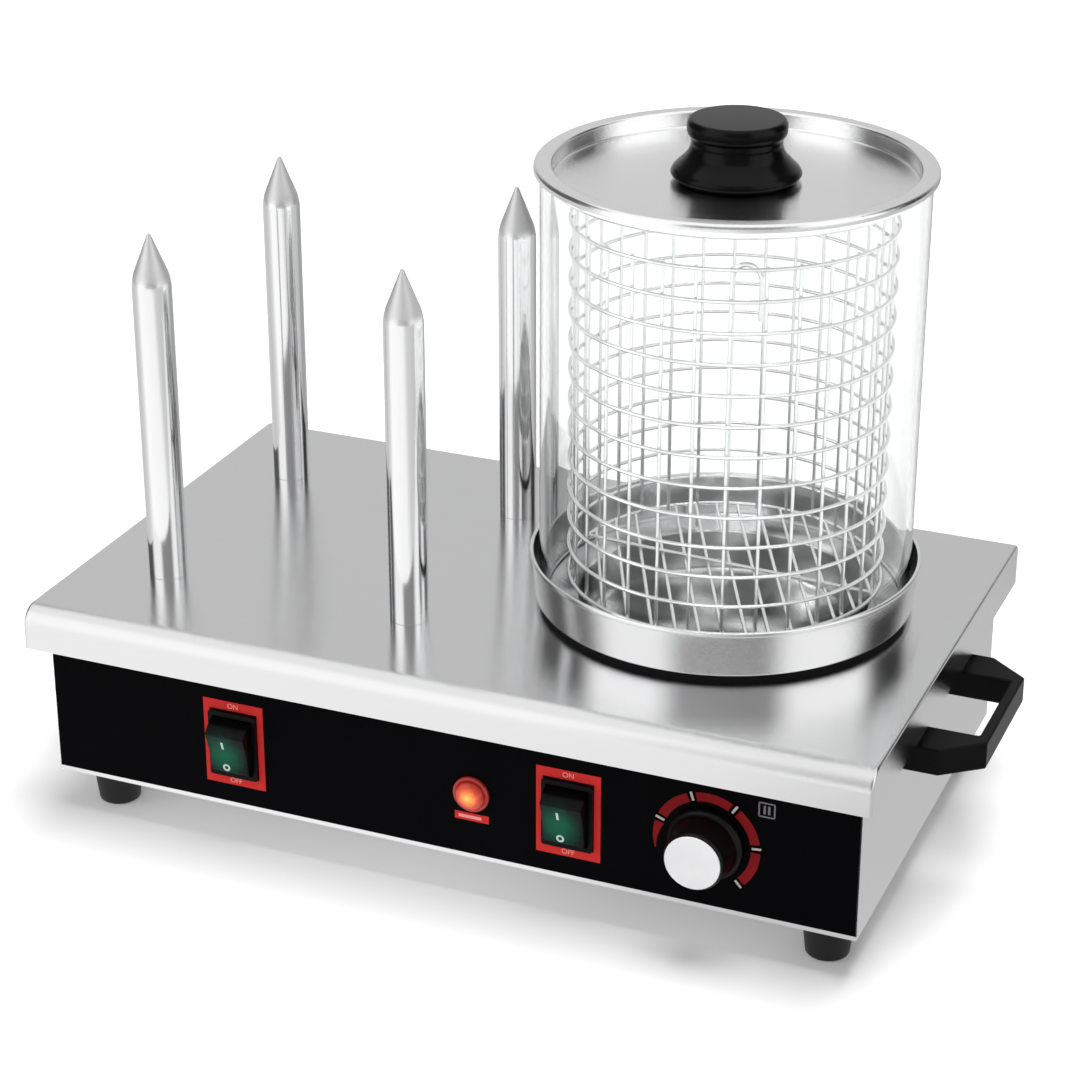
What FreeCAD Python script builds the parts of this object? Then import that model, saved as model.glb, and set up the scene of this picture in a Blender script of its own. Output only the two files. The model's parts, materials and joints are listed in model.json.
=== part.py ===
import FreeCAD, Part
import math
import os

# Hot dog warmer: four heated bun spikes beside a glass steamer with a wire basket.
# Millimetres. X runs to the right along the front, -Y faces the user, +Z is up.
# The origin lies on the surface the feet stand on, under the middle of the object.

Vector = FreeCAD.Vector
X_AXIS = Vector(1, 0, 0)
Y_AXIS = Vector(0, 1, 0)
Z_AXIS = Vector(0, 0, 1)

# Casing
body_width = 464.0
body_depth = 265.0
body_height = 104.0
casing_sheet = 1.2
flange_width = 14.0
shell_corner_radius = 2.5
cover_side_overhang = 8.0
cover_end_overhang = 13.0
cover_lip = 24.0
cover_front_radius = 11.0
cover_back_radius = 4.0
cover_side_radius = 3.0
sill_height = 2.5
vent_length = 44.0
vent_width = 4.0
vent_pitch = 11.0
vent_count = 6
vent_offset_x = 90.0
cover_stud_side_y = 88.0
cover_stud_back_x = 93.0
base_screw_side_y = 66.0
base_screw_back_x = 116.0

# Front panel
panel_thickness = 1.5
panel_side_inset = 0.8
panel_top_gap = 0.3
panel_stud_radius = 1.5
panel_stud_length = 8.0
panel_stud_inset_z = 20.0

# Feet
foot_height = 26.0
foot_top_radius = 14.5
foot_bottom_radius = 11.5
foot_edge_radius = 1.8
foot_inset_x = 22.0
foot_inset_y = 25.5
foot_recess_radius = 5.0
foot_recess_depth = 12.0

# Screws, studs and nuts
foot_screw_radius = 2.5
base_screw_radius = 2.0
cover_stud_radius = 2.0
cover_stud_length = 9.0
handle_screw_radius = 2.5
handle_screw_length = 16.0
screw_hole_clearance = 0.15
nut_bore_clearance = 0.05
head_radius_ratio = 1.8
head_height_ratio = 0.9
nut_width_ratio = 3.4
nut_height_ratio = 1.6
head_round_ratio = 0.45
base_screw_length = 4.0
foot_screw_spare = 1.0

# How far a cutter runs past a face, how deep a stud is welded, how exactly edges are matched
cut_margin = 1.0
weld_depth = 0.5
edge_tolerance = 0.01

# Bun spikes
spike_radius = 10.75
spike_height = 198.0
spike_cone_height = 25.0
spike_tip_radius = 0.8
spike_wall = 1.2
spike_base_thickness = 4.0
spike_pitch_x = 148.0
spike_pitch_y = 150.0
spike_inset_x = 43.0
spike_centre_y = 1.0
spike_neck_radius = 6.0
spike_neck_length = 12.0
spike_nut_width = 18.0
spike_nut_height = 5.5
spike_heater_radius = 4.0
spike_heater_length = 170.0
spike_heater_tail = 22.0
spike_heater_clearance = 0.1

# Water pan and its heater
steamer_x = 107.0
steamer_y = 15.0
pan_sheet = 1.0
pan_rim_radius = 105.4
pan_foot_radius = 102.8
pan_rim_height = 30.0
pan_well_radius = 80.0
pan_well_depth = 23.0
pan_well_corner = 6.0
pan_hole_clearance = 1.0
pan_stud_circle = 91.0
pan_stud_radius = 2.0
pan_stud_length = 11.0
pan_stud_count = 4
gasket_thickness = 3.5
gasket_inset = 3.3
heater_plate_radius = 70.0
heater_plate_thickness = 4.0
heater_ring_radius = 56.0
heater_ring_width = 8.0
heater_ring_height = 6.0
heater_ring_sweep = 320.0
heater_pin_radius = 2.0
heater_pin_length = 18.0
cutout_radius = 9.0
cutout_height = 9.0
cutout_tab_length = 28.0
cutout_tab_width = 11.0
cutout_tab_thickness = 1.2

# Glass cylinder
glass_radius = 100.8
glass_wall = 3.5
glass_edge_radius = 1.0

# Lid
lid_height = 247.0
lid_sheet = 1.0
lid_flange_radius = 104.0
lid_wall_radius = 95.5
lid_recess = 9.0
lid_skirt = 4.0
lid_screw_radius = 2.5
lid_screw_length = 15.0
lid_screw_spare = 1.0
lid_knob_height = 32.6
lid_knob_seat_radius = 30.5
lid_knob_flange_radius = 34.0
lid_knob_flange_z = 4.8
lid_knob_slope_radius = 28.0
lid_knob_slope_z = 11.0
lid_knob_waist_radius = 23.0
lid_knob_waist_z = 18.5
lid_knob_top_radius = 25.8
lid_knob_face_radius = 25.4
lid_knob_top_z = 26.5
lid_knob_edge_radius = 2.2

# Basket
basket_radius = 86.0
basket_wire = 2.2
upright_inset = 0.2
basket_floor_height = 18.0
basket_ring_pitch = 16.6
basket_ring_count = 13
basket_upright_count = 30
basket_leg_step = 10
floor_wire = 2.0
floor_wire_pitch = 11.9
floor_wire_side_count = 6
floor_wire_shift = -3.3
floor_wire_angle = 114.5
cross_wire_angle = -3.5
cross_wire_bite = 0.3
basket_join_gap = 0.05
lift_rod_radius = 1.5
lift_rod_top = 193.0
lift_hook_radius = 8.0
lift_hook_drop = 22.0

# Side handles
handle_reach = 39.0
handle_length = 114.0
handle_grip_length = 80.0
handle_knee_reach = 18.0
handle_grip_width = 6.0
handle_gap_length = 66.0
handle_thickness = 15.5
handle_drop = 29.0
handle_edge_radius = 1.5
handle_screw_spacing = 90.0

# Controls on the front
control_drop = 65.0
left_switch_x = -119.7
right_switch_x = 75.3
bezel_width = 28.5
bezel_height = 39.0
bezel_thickness = 2.5
bezel_corner_radius = 1.5
switch_body_width = 26.4
switch_body_height = 36.2
switch_body_depth = 22.0
switch_cut_clearance = 0.25
switch_cavity_depth = 15.5
rocker_width = 23.0
rocker_side_clearance = 0.4
rocker_radius = 16.5
rocker_end_clearance = 0.4
rocker_face_reach = 11.0
rocker_face_dip = 1.2
rocker_back_reach = 7.0
rocker_back_half = 6.0
rocker_arc_end = 100.0
rocker_tilt = 12.0
rocker_pivot_depth = 4.0
rocker_pin_radius = 1.5
rocker_pin_clearance = 0.06
rocker_pin_length = 1.4
terminal_width = 6.3
terminal_thickness = 0.8
terminal_length = 8.0
terminal_spacing_x = 12.0
terminal_spacing_z = 18.0

lamp_x = 20.6
lamp_flange_radius = 10.3
lamp_flange_thickness = 1.5
lamp_dome_radius = 8.8
lamp_dome_height = 6.2
lamp_barrel_radius = 6.5
lamp_barrel_length = 24.0
lamp_hole_clearance = 0.2
lamp_lens_stem_radius = 5.0
lamp_lens_stem_length = 6.0
lamp_nut_width = 17.0
lamp_nut_height = 4.0

dial_x = 151.0
knob_reach = 22.0
knob_panel_gap = 0.6
knob_skirt_radius = 20.5
knob_skirt_height = 3.4
knob_body_radius = 17.6
knob_body_start = 6.0
knob_face_radius = 16.2
knob_edge_chamfer = 1.2
knob_back_radius = 18.3
knob_back_depth = 4.6
knob_boss_radius = 6.0
knob_boss_start = 3.4
knob_cap_radius = 14.9
knob_cap_thickness = 1.8
knob_cap_seat = 1.2
knob_cap_clearance = 0.1
knob_pointer_width = 2.0
knob_pointer_angle = 225.0
spindle_radius = 3.0
spindle_clearance = 0.05
spindle_end_gap = 0.5
spindle_knob_depth = 15.0
spindle_body_depth = 12.0
bush_radius = 4.5
bush_reach = 2.6
bush_hole_clearance = 0.4
thermostat_width = 38.0
thermostat_height = 42.0
thermostat_depth = 26.0
thermostat_screw_radius = 1.9
thermostat_screw_spacing = 26.0
thermostat_screw_length = 6.0

# Mains inlet and terminals
gland_inset_x = 82.0
gland_height = 28.0
gland_reach = 22.0
gland_bore_radius = 4.5
gland_barrel_radius = 8.0
gland_barrel_length = 12.0
gland_hex_width = 23.0
gland_hex_height = 6.0
gland_dome_radius = 10.4
gland_taper_length = 6.4
gland_mouth_radius = 7.0
gland_hole_clearance = 0.2
gland_nut_height = 5.0
terminal_block_size = (42.0, 22.0, 18.0)
terminal_block_inset_y = 62.5
terminal_well_radius = 3.0
terminal_well_depth = 8.0
terminal_well_count = 3

# Levels and faces that follow from the sizes above
base_z = foot_height
top_z = foot_height + body_height
cover_underside_z = top_z - casing_sheet
floor_top_z = base_z + casing_sheet
panel_face_y = -body_depth / 2
panel_back_y = panel_face_y + panel_thickness
panel_bottom_z = base_z + sill_height
panel_top_z = cover_underside_z - panel_top_gap
control_z = top_z - control_drop
bezel_face_y = panel_face_y - bezel_thickness
ledge_z = top_z + gasket_thickness + pan_sheet
pan_bottom_z = top_z - pan_well_depth
lid_top_z = top_z + lid_height
lid_floor_z = lid_top_z - lid_recess
basket_floor_z = top_z + basket_floor_height
handle_top_z = top_z - handle_drop
handle_screw_z = handle_top_z - handle_thickness / 2
rocker_pivot_y = bezel_face_y + rocker_pivot_depth
gland_z = base_z + gland_height
gland_x = gland_inset_x - body_width / 2
terminal_block_y = body_depth / 2 - terminal_block_inset_y
spike_centre_x = spike_inset_x + spike_pitch_x / 2 - body_width / 2
foot_x = body_width / 2 - foot_inset_x
foot_y = body_depth / 2 - foot_inset_y
steamer = (steamer_x, steamer_y)


def block(x_range, y_range, z_range):
    """A box between three pairs of limits."""
    size = [pair[1] - pair[0] for pair in (x_range, y_range, z_range)]
    return Part.makeBox(size[0], size[1], size[2], Vector(x_range[0], y_range[0], z_range[0]))


def centred(middle, size):
    """The two limits of a length about its middle."""
    return (middle - size / 2, middle + size / 2)


def shrunk(limits, step):
    """A pair of limits drawn in by a step at each end, or spread where the step is negative."""
    return (limits[0] + step, limits[1] - step)


def post(centre, radius, z_low, z_high):
    """An upright cylinder."""
    return Part.makeCylinder(radius, z_high - z_low, Vector(centre[0], centre[1], z_low))


def bar_y(x, z, radius, y_low, y_high):
    """A cylinder that runs from front to back."""
    return Part.makeCylinder(radius, y_high - y_low, Vector(x, y_low, z), Y_AXIS)


def bar_x(y, z, radius, x_low, x_high):
    """A cylinder that runs from left to right."""
    return Part.makeCylinder(radius, x_high - x_low, Vector(x_low, y, z), X_AXIS)


def turned(outline, centre):
    """A closed outline of (radius, z) points turned about an upright axis."""
    points = [Vector(centre[0] + radius, centre[1], z) for radius, z in outline]
    face = Part.Face(Part.makePolygon(points + points[:1]))
    return face.revolve(Vector(centre[0], centre[1], 0), Z_AXIS, 360)


def turned_to_front(outline, x, z):
    """A closed outline of (radius, distance before the front face) points turned about Y."""
    points = [Vector(x + radius, panel_face_y - reach, z) for radius, reach in outline]
    face = Part.Face(Part.makePolygon(points + points[:1]))
    return face.revolve(Vector(x, 0, z), Y_AXIS, 360)


def round_rings(shape, rings):
    """Fillet the circular edges found at each (radius, z) by the given fillet radius."""
    for ring_radius, ring_z, fillet_radius in rings:
        edges = []
        for edge in shape.Edges:
            if edge.Curve.TypeId != "Part::GeomCircle":
                continue
            same_radius = abs(edge.Curve.Radius - ring_radius) < edge_tolerance
            same_level = abs(edge.Curve.Center.z - ring_z) < edge_tolerance
            if same_radius and same_level:
                edges.append(edge)
        if edges:
            shape = shape.makeFillet(fillet_radius, edges)
    return shape


def upright_back_edges(shape):
    """The upright edges of a box at its back corners."""
    return [edge for edge in shape.Edges
            if edge.BoundBox.YMin > body_depth / 2 - edge_tolerance
            and edge.BoundBox.XLength < edge_tolerance]


def hexagon(width, height, centre, direction):
    """A hexagonal prism that starts at centre and runs along direction."""
    corner = width / math.sqrt(3)
    points = []
    for turn in range(7):
        angle = math.radians(60 * turn)
        points.append(Vector(corner * math.cos(angle), corner * math.sin(angle), 0))
    prism = Part.Face(Part.makePolygon(points)).extrude(Vector(0, 0, height))
    prism.Placement = FreeCAD.Placement(centre, FreeCAD.Rotation(Z_AXIS, direction))
    return prism


def nut(thread_radius, seat, direction):
    """A hexagonal nut whose face lies on its seat."""
    height = thread_radius * nut_height_ratio
    body = hexagon(thread_radius * nut_width_ratio, height, seat, direction)
    bore = Part.makeCylinder(thread_radius + nut_bore_clearance, height, seat, direction)
    return body.cut(bore)


def screw(thread_radius, length, seat, direction):
    """A pan-head screw: its head stands on the seat and its shank runs along direction."""
    head_height = thread_radius * head_height_ratio
    head_start = seat - direction * head_height
    head = Part.makeCylinder(thread_radius * head_radius_ratio, head_height, head_start, direction)
    rim = [edge for edge in head.Edges if edge.Curve.TypeId == "Part::GeomCircle"
           and edge.Curve.Center.distanceToPoint(head_start) < edge_tolerance]
    head = head.makeFillet(head_height * head_round_ratio, rim)
    shank = Part.makeCylinder(thread_radius, length, seat, direction)
    return head.fuse(shank).removeSplitter()


def four(half_x, half_y, middle_x=0.0, middle_y=0.0):
    """Four corner points as a mapping from a place name to (x, y)."""
    corners = {}
    for depth_name, side_y in (("front", -1), ("back", 1)):
        for side_name, side_x in (("left", -1), ("right", 1)):
            place = (middle_x + side_x * half_x, middle_y + side_y * half_y)
            corners[depth_name + "_" + side_name] = place
    return corners


def on_circle(centre, radius, count, first_angle):
    """Evenly spaced points on a circle."""
    points = []
    for index in range(count):
        angle = math.radians(first_angle + 360 / count * index)
        points.append((centre[0] + radius * math.cos(angle), centre[1] + radius * math.sin(angle)))
    return points


spike_places = four(spike_pitch_x / 2, spike_pitch_y / 2, spike_centre_x, spike_centre_y)
foot_places = four(foot_x, foot_y)
pan_stud_places = on_circle(steamer, pan_stud_circle, pan_stud_count, 45)
flange_x = body_width / 2 - flange_width / 2
flange_y = body_depth / 2 - flange_width / 2
cover_stud_places = list(four(flange_x, cover_stud_side_y).values())
cover_stud_places += [(-cover_stud_back_x, flange_y), (cover_stud_back_x, flange_y)]
base_screw_places = list(four(flange_x, base_screw_side_y).values())
base_screw_places += [(-base_screw_back_x, flange_y), (base_screw_back_x, flange_y)]
panel_stud_places = []
for stud_x in (-flange_x, flange_x):
    for stud_z in (panel_bottom_z + panel_stud_inset_z, cover_underside_z - panel_stud_inset_z):
        panel_stud_places.append((stud_x, stud_z))


def folded_lid_block(width, depth, top, bottom, front_radius, back_radius, side_radius):
    """The rounded block that one skin of the folded cover follows."""
    front = -depth / 2
    back = depth / 2
    slant = math.sqrt(0.5)
    front_mid = Vector(0, front + front_radius * (1 - slant), top - front_radius * (1 - slant))
    back_mid = Vector(0, back - back_radius * (1 - slant), top - back_radius * (1 - slant))
    front_low = Vector(0, front, top - front_radius)
    front_high = Vector(0, front + front_radius, top)
    back_high = Vector(0, back - back_radius, top)
    back_low = Vector(0, back, top - back_radius)
    corner_back = Vector(0, back, bottom)
    corner_front = Vector(0, front, bottom)
    edges = [
        Part.makeLine(corner_front, front_low),
        Part.Arc(front_low, front_mid, front_high).toShape(),
        Part.makeLine(front_high, back_high),
        Part.Arc(back_high, back_mid, back_low).toShape(),
        Part.makeLine(back_low, corner_back),
        Part.makeLine(corner_back, corner_front),
    ]
    face = Part.Face(Part.Wire(edges))
    solid = face.extrude(Vector(width, 0, 0))
    solid.translate(Vector(-width / 2, 0, 0))
    side_edges = []
    for edge in solid.Edges:
        box = edge.BoundBox
        on_side = abs(abs(box.XMin) - width / 2) < edge_tolerance and box.XLength < edge_tolerance
        on_bottom = box.ZMax < bottom + edge_tolerance
        if on_side and not on_bottom:
            side_edges.append(edge)
    return solid.makeFillet(side_radius, side_edges)


def make_top_cover():
    width = body_width + 2 * cover_side_overhang
    depth = body_depth + 2 * cover_end_overhang
    lip_z = top_z - cover_lip
    outside = folded_lid_block(width, depth, top_z, lip_z,
                               cover_front_radius, cover_back_radius, cover_side_radius)
    inside = folded_lid_block(width - 2 * casing_sheet, depth - 2 * casing_sheet,
                              cover_underside_z, lip_z - cut_margin,
                              cover_front_radius - casing_sheet,
                              cover_back_radius - casing_sheet,
                              cover_side_radius - casing_sheet)
    cover = outside.cut(inside)
    below = cover_underside_z - cut_margin
    above = top_z + cut_margin
    holes = [post(place, spike_neck_radius + screw_hole_clearance, below, above)
             for place in spike_places.values()]
    holes += [post(place, pan_stud_radius + screw_hole_clearance, below, above)
              for place in pan_stud_places]
    holes.append(post(steamer, pan_well_radius + pan_hole_clearance, below, above))
    studs = [post(place, cover_stud_radius, cover_underside_z - cover_stud_length,
                  cover_underside_z + weld_depth)
             for place in cover_stud_places]
    return cover.cut(holes).fuse(studs).removeSplitter()


def make_body_shell():
    x_limits = centred(0, body_width)
    y_limits = (panel_back_y, body_depth / 2)
    z_limits = (floor_top_z, cover_underside_z)
    outside = block(x_limits, y_limits, z_limits)
    outside = outside.makeFillet(shell_corner_radius, upright_back_edges(outside))
    inside = block(shrunk(x_limits, casing_sheet), shrunk(y_limits, casing_sheet),
                   shrunk(z_limits, casing_sheet))
    window_x = shrunk(x_limits, flange_width)
    window_y = shrunk(y_limits, flange_width)
    window_z = shrunk(z_limits, flange_width)
    upright_window = block(window_x, window_y, shrunk(z_limits, -cut_margin))
    front_window = block(window_x, (panel_back_y - cut_margin, 0), window_z)
    shell = outside.cut([inside, upright_window, front_window])
    cuts = []
    through = casing_sheet + 2 * cut_margin
    for place in cover_stud_places:
        cuts.append(post(place, cover_stud_radius + screw_hole_clearance,
                         z_limits[1] + cut_margin - through, z_limits[1] + cut_margin))
    for place in base_screw_places:
        cuts.append(post(place, base_screw_radius + screw_hole_clearance,
                         z_limits[0] - cut_margin, z_limits[0] - cut_margin + through))
    for stud_x, stud_z in panel_stud_places:
        cuts.append(bar_y(stud_x, stud_z, panel_stud_radius + screw_hole_clearance,
                          panel_back_y - cut_margin, panel_back_y - cut_margin + through))
    for side in (-1, 1):
        wall_x = side * (body_width / 2 - casing_sheet / 2)
        for place_y in centred(0, handle_screw_spacing):
            cuts.append(bar_x(place_y, handle_screw_z, handle_screw_radius + screw_hole_clearance,
                              *centred(wall_x, through)))
    cuts.append(bar_y(gland_x, gland_z, gland_barrel_radius + gland_hole_clearance,
                      *centred(body_depth / 2 - casing_sheet / 2, through)))
    return shell.cut(cuts)


def make_base_plate():
    plate = block(centred(0, body_width), centred(0, body_depth), (base_z, floor_top_z))
    plate = plate.makeFillet(shell_corner_radius, upright_back_edges(plate))
    sill = block(centred(0, body_width), (panel_face_y, panel_back_y), (base_z, panel_bottom_z))
    plate = plate.fuse(sill).removeSplitter()
    through = shrunk((base_z, floor_top_z), -cut_margin)
    cuts = []
    for middle_x in (-vent_offset_x, vent_offset_x):
        for row in range(vent_count):
            slot_y = (row - (vent_count - 1) / 2) * vent_pitch
            cuts.append(block(centred(middle_x, vent_length), centred(slot_y, vent_width), through))
    for place in base_screw_places:
        cuts.append(post(place, base_screw_radius + screw_hole_clearance, *through))
    for place in foot_places.values():
        cuts.append(post(place, foot_screw_radius + screw_hole_clearance, *through))
    return plate.cut(cuts)


def make_front_panel():
    half_width = body_width / 2 - panel_side_inset
    panel = block((-half_width, half_width), (panel_face_y, panel_back_y), (panel_bottom_z, panel_top_z))
    cuts = []
    y_through = shrunk((panel_face_y, panel_back_y), -cut_margin)
    for switch_x in (left_switch_x, right_switch_x):
        cuts.append(block(centred(switch_x, switch_body_width + 2 * switch_cut_clearance), y_through,
                          centred(control_z, switch_body_height + 2 * switch_cut_clearance)))
    cuts.append(bar_y(lamp_x, control_z, lamp_barrel_radius + lamp_hole_clearance, *y_through))
    cuts.append(bar_y(dial_x, control_z, bush_radius + bush_hole_clearance, *y_through))
    for screw_x in centred(dial_x, thermostat_screw_spacing):
        cuts.append(bar_y(screw_x, control_z, thermostat_screw_radius + screw_hole_clearance, *y_through))
    studs = [bar_y(stud_x, stud_z, panel_stud_radius, panel_back_y - weld_depth,
                   panel_back_y + panel_stud_length)
             for stud_x, stud_z in panel_stud_places]
    return panel.cut(cuts).fuse(studs).removeSplitter()


def make_foot(place):
    foot = turned([(0, 0), (foot_bottom_radius, 0), (foot_top_radius, foot_height), (0, foot_height)], place)
    foot = round_rings(foot, [(foot_bottom_radius, 0, foot_edge_radius)])
    recess = post(place, foot_recess_radius, -cut_margin, foot_recess_depth)
    hole = post(place, foot_screw_radius + screw_hole_clearance, 0, foot_height + cut_margin)
    return foot.cut([recess, hole])


def make_foot_screws():
    grip = foot_height - foot_recess_depth + casing_sheet
    length = grip + foot_screw_radius * nut_height_ratio + foot_screw_spare
    return Part.makeCompound([
        screw(foot_screw_radius, length, Vector(x, y, foot_recess_depth), Z_AXIS)
        for x, y in foot_places.values()])


def make_foot_nuts():
    return Part.makeCompound([
        nut(foot_screw_radius, Vector(x, y, floor_top_z), Z_AXIS) for x, y in foot_places.values()])


def make_base_screws():
    return Part.makeCompound([
        screw(base_screw_radius, base_screw_length, Vector(x, y, base_z), Z_AXIS)
        for x, y in base_screw_places])


def make_cover_nuts():
    seat_z = cover_underside_z - casing_sheet
    return Part.makeCompound([
        nut(cover_stud_radius, Vector(x, y, seat_z), -Z_AXIS) for x, y in cover_stud_places])


def make_panel_nuts():
    seat_y = panel_back_y + casing_sheet
    return Part.makeCompound([
        nut(panel_stud_radius, Vector(x, seat_y, z), Y_AXIS) for x, z in panel_stud_places])


def make_spike(place):
    """A tube with a pointed end, a welded base and a threaded neck for its heater."""
    bore = spike_heater_radius + spike_heater_clearance
    inner = spike_radius - spike_wall
    tip = top_z + spike_height
    shoulder = tip - spike_cone_height
    wall_drop = spike_wall * spike_cone_height / (spike_radius - spike_tip_radius)
    outline = [
        (bore, top_z - spike_neck_length),
        (spike_neck_radius, top_z - spike_neck_length),
        (spike_neck_radius, top_z),
        (spike_radius, top_z),
        (spike_radius, shoulder),
        (spike_tip_radius, tip),
        (0, tip),
        (0, tip - wall_drop),
        (inner, shoulder),
        (inner, top_z + spike_base_thickness),
        (bore, top_z + spike_base_thickness),
    ]
    return turned(outline, place)


def make_spike_nuts():
    nuts = []
    for x, y in spike_places.values():
        seat = Vector(x, y, cover_underside_z)
        body = hexagon(spike_nut_width, spike_nut_height, seat, -Z_AXIS)
        bore = Part.makeCylinder(spike_neck_radius + nut_bore_clearance, spike_nut_height, seat, -Z_AXIS)
        nuts.append(body.cut(bore))
    return Part.makeCompound(nuts)


def make_spike_heaters():
    low = top_z - spike_heater_tail
    return Part.makeCompound([
        post(place, spike_heater_radius, low, low + spike_heater_length) for place in spike_places.values()])


def make_water_pan():
    """A pressed pan: a deep well, a ledge for the glass and a wall that leans out to the rim."""
    shelf = top_z + gasket_thickness
    rim = top_z + pan_rim_height
    outline = [
        (0, pan_bottom_z),
        (pan_well_radius, pan_bottom_z),
        (pan_well_radius, shelf),
        (pan_foot_radius, shelf),
        (pan_rim_radius, rim),
        (pan_rim_radius - pan_sheet, rim),
        (pan_foot_radius - pan_sheet, ledge_z),
        (pan_well_radius - pan_sheet, ledge_z),
        (pan_well_radius - pan_sheet, pan_bottom_z + pan_sheet),
        (0, pan_bottom_z + pan_sheet),
    ]
    pan = round_rings(turned(outline, steamer), [
        (pan_well_radius, pan_bottom_z, pan_well_corner),
        (pan_well_radius - pan_sheet, pan_bottom_z + pan_sheet, pan_well_corner - pan_sheet),
        (pan_foot_radius, shelf, 1.5 * pan_sheet),
        (pan_foot_radius - pan_sheet, ledge_z, 0.5 * pan_sheet),
        (pan_well_radius - pan_sheet, ledge_z, 1.5 * pan_sheet),
    ])
    studs = [post(place, pan_stud_radius, shelf - pan_stud_length, shelf + pan_sheet / 2)
             for place in pan_stud_places]
    return pan.fuse(studs).removeSplitter()


def make_pan_gasket():
    outline = [
        (pan_well_radius + pan_hole_clearance, top_z),
        (pan_foot_radius - gasket_inset, top_z),
        (pan_foot_radius - gasket_inset, top_z + gasket_thickness),
        (pan_well_radius + pan_hole_clearance, top_z + gasket_thickness),
    ]
    holes = [post(place, pan_stud_radius + screw_hole_clearance, top_z - cut_margin, ledge_z)
             for place in pan_stud_places]
    return turned(outline, steamer).cut(holes)


def make_pan_nuts():
    return Part.makeCompound([
        nut(pan_stud_radius, Vector(x, y, cover_underside_z), -Z_AXIS) for x, y in pan_stud_places])


def make_heater_plate():
    return post(steamer, heater_plate_radius, pan_bottom_z - heater_plate_thickness, pan_bottom_z)


def make_pan_heater():
    """An open ring of flattened tube with a connection pin at each end."""
    top = pan_bottom_z - heater_plate_thickness
    bottom = top - heater_ring_height
    inner = heater_ring_radius - heater_ring_width / 2
    outer = heater_ring_radius + heater_ring_width / 2
    corners = [(inner, bottom), (outer, bottom), (outer, top), (inner, top)]
    points = [Vector(steamer_x + radius, steamer_y, z) for radius, z in corners]
    section = Part.Face(Part.makePolygon(points + points[:1]))
    ring = section.revolve(Vector(steamer_x, steamer_y, 0), Z_AXIS, heater_ring_sweep)
    pin_turn = math.degrees(heater_ring_width / 2 / heater_ring_radius)
    pins = []
    for angle in (pin_turn, heater_ring_sweep - pin_turn):
        place = on_circle(steamer, heater_ring_radius, 1, angle)[0]
        pins.append(post(place, heater_pin_radius, bottom - heater_pin_length, bottom + weld_depth))
    return ring.fuse(pins).removeSplitter()


def make_high_limit_cutout():
    top = pan_bottom_z - heater_plate_thickness
    disc = post(steamer, cutout_radius, top - cutout_height, top)
    tab = block(centred(steamer_x, cutout_tab_length), centred(steamer_y, cutout_tab_width),
                (top - cutout_tab_thickness, top))
    blades = []
    for blade_x in centred(steamer_x, cutout_radius):
        blades.append(block(centred(blade_x, terminal_thickness), centred(steamer_y, terminal_width),
                            (top - cutout_height - terminal_length, top - cutout_height + weld_depth)))
    return disc.fuse([tab] + blades).removeSplitter()


def make_glass_cylinder():
    low = ledge_z
    high = lid_top_z - lid_sheet
    inner = glass_radius - glass_wall
    tube = turned([(inner, low), (glass_radius, low), (glass_radius, high), (inner, high)], steamer)
    return round_rings(tube, [
        (inner, low, glass_edge_radius), (glass_radius, low, glass_edge_radius),
        (inner, high, glass_edge_radius), (glass_radius, high, glass_edge_radius)])


def make_lid_plate():
    """A pressed lid: a sunk disc, a short wall, a flat flange and a turned-down skirt."""
    hole = lid_screw_radius + screw_hole_clearance
    under = lid_floor_z - lid_sheet
    flange_under = lid_top_z - lid_sheet
    skirt_z = lid_top_z - lid_skirt
    outline = [
        (hole, under),
        (lid_wall_radius, under),
        (lid_wall_radius, flange_under),
        (lid_flange_radius - lid_sheet, flange_under),
        (lid_flange_radius - lid_sheet, skirt_z),
        (lid_flange_radius, skirt_z),
        (lid_flange_radius, lid_top_z),
        (lid_wall_radius - lid_sheet, lid_top_z),
        (lid_wall_radius - lid_sheet, lid_floor_z),
        (hole, lid_floor_z),
    ]
    return round_rings(turned(outline, steamer), [
        (lid_wall_radius, under, 2 * lid_sheet),
        (lid_wall_radius - lid_sheet, lid_floor_z, lid_sheet),
        (lid_wall_radius - lid_sheet, lid_top_z, lid_sheet),
        (lid_flange_radius, lid_top_z, lid_sheet)])


def make_lid_knob():
    """A turned mushroom grip: a domed foot flange, a narrow waist and a wider flat top."""
    low = lid_floor_z
    high = low + lid_knob_height
    stations = [
        (lid_knob_seat_radius, 0),
        (lid_knob_flange_radius, lid_knob_flange_z),
        (lid_knob_slope_radius, lid_knob_slope_z),
        (lid_knob_waist_radius, lid_knob_waist_z),
        (lid_knob_top_radius, lid_knob_top_z),
        (lid_knob_face_radius, lid_knob_height),
    ]
    points = [Vector(steamer_x + radius, steamer_y, low + step) for radius, step in stations]
    side = Part.BSplineCurve()
    side.interpolate(points)
    axis_low = Vector(steamer_x, steamer_y, low)
    axis_high = Vector(steamer_x, steamer_y, high)
    wire = Part.Wire([
        Part.makeLine(axis_low, points[0]), side.toShape(),
        Part.makeLine(points[-1], axis_high), Part.makeLine(axis_high, axis_low)])
    knob = Part.Face(wire).revolve(Vector(steamer_x, steamer_y, 0), Z_AXIS, 360)
    knob = round_rings(knob, [(lid_knob_face_radius, high, lid_knob_edge_radius)])
    bore = post(steamer, lid_screw_radius + screw_hole_clearance, low - cut_margin,
                low + lid_screw_length - lid_sheet + lid_screw_spare)
    return knob.cut(bore)


def make_lid_knob_screw():
    seat = Vector(steamer_x, steamer_y, lid_floor_z - lid_sheet)
    return screw(lid_screw_radius, lid_screw_length, seat, Z_AXIS)


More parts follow.
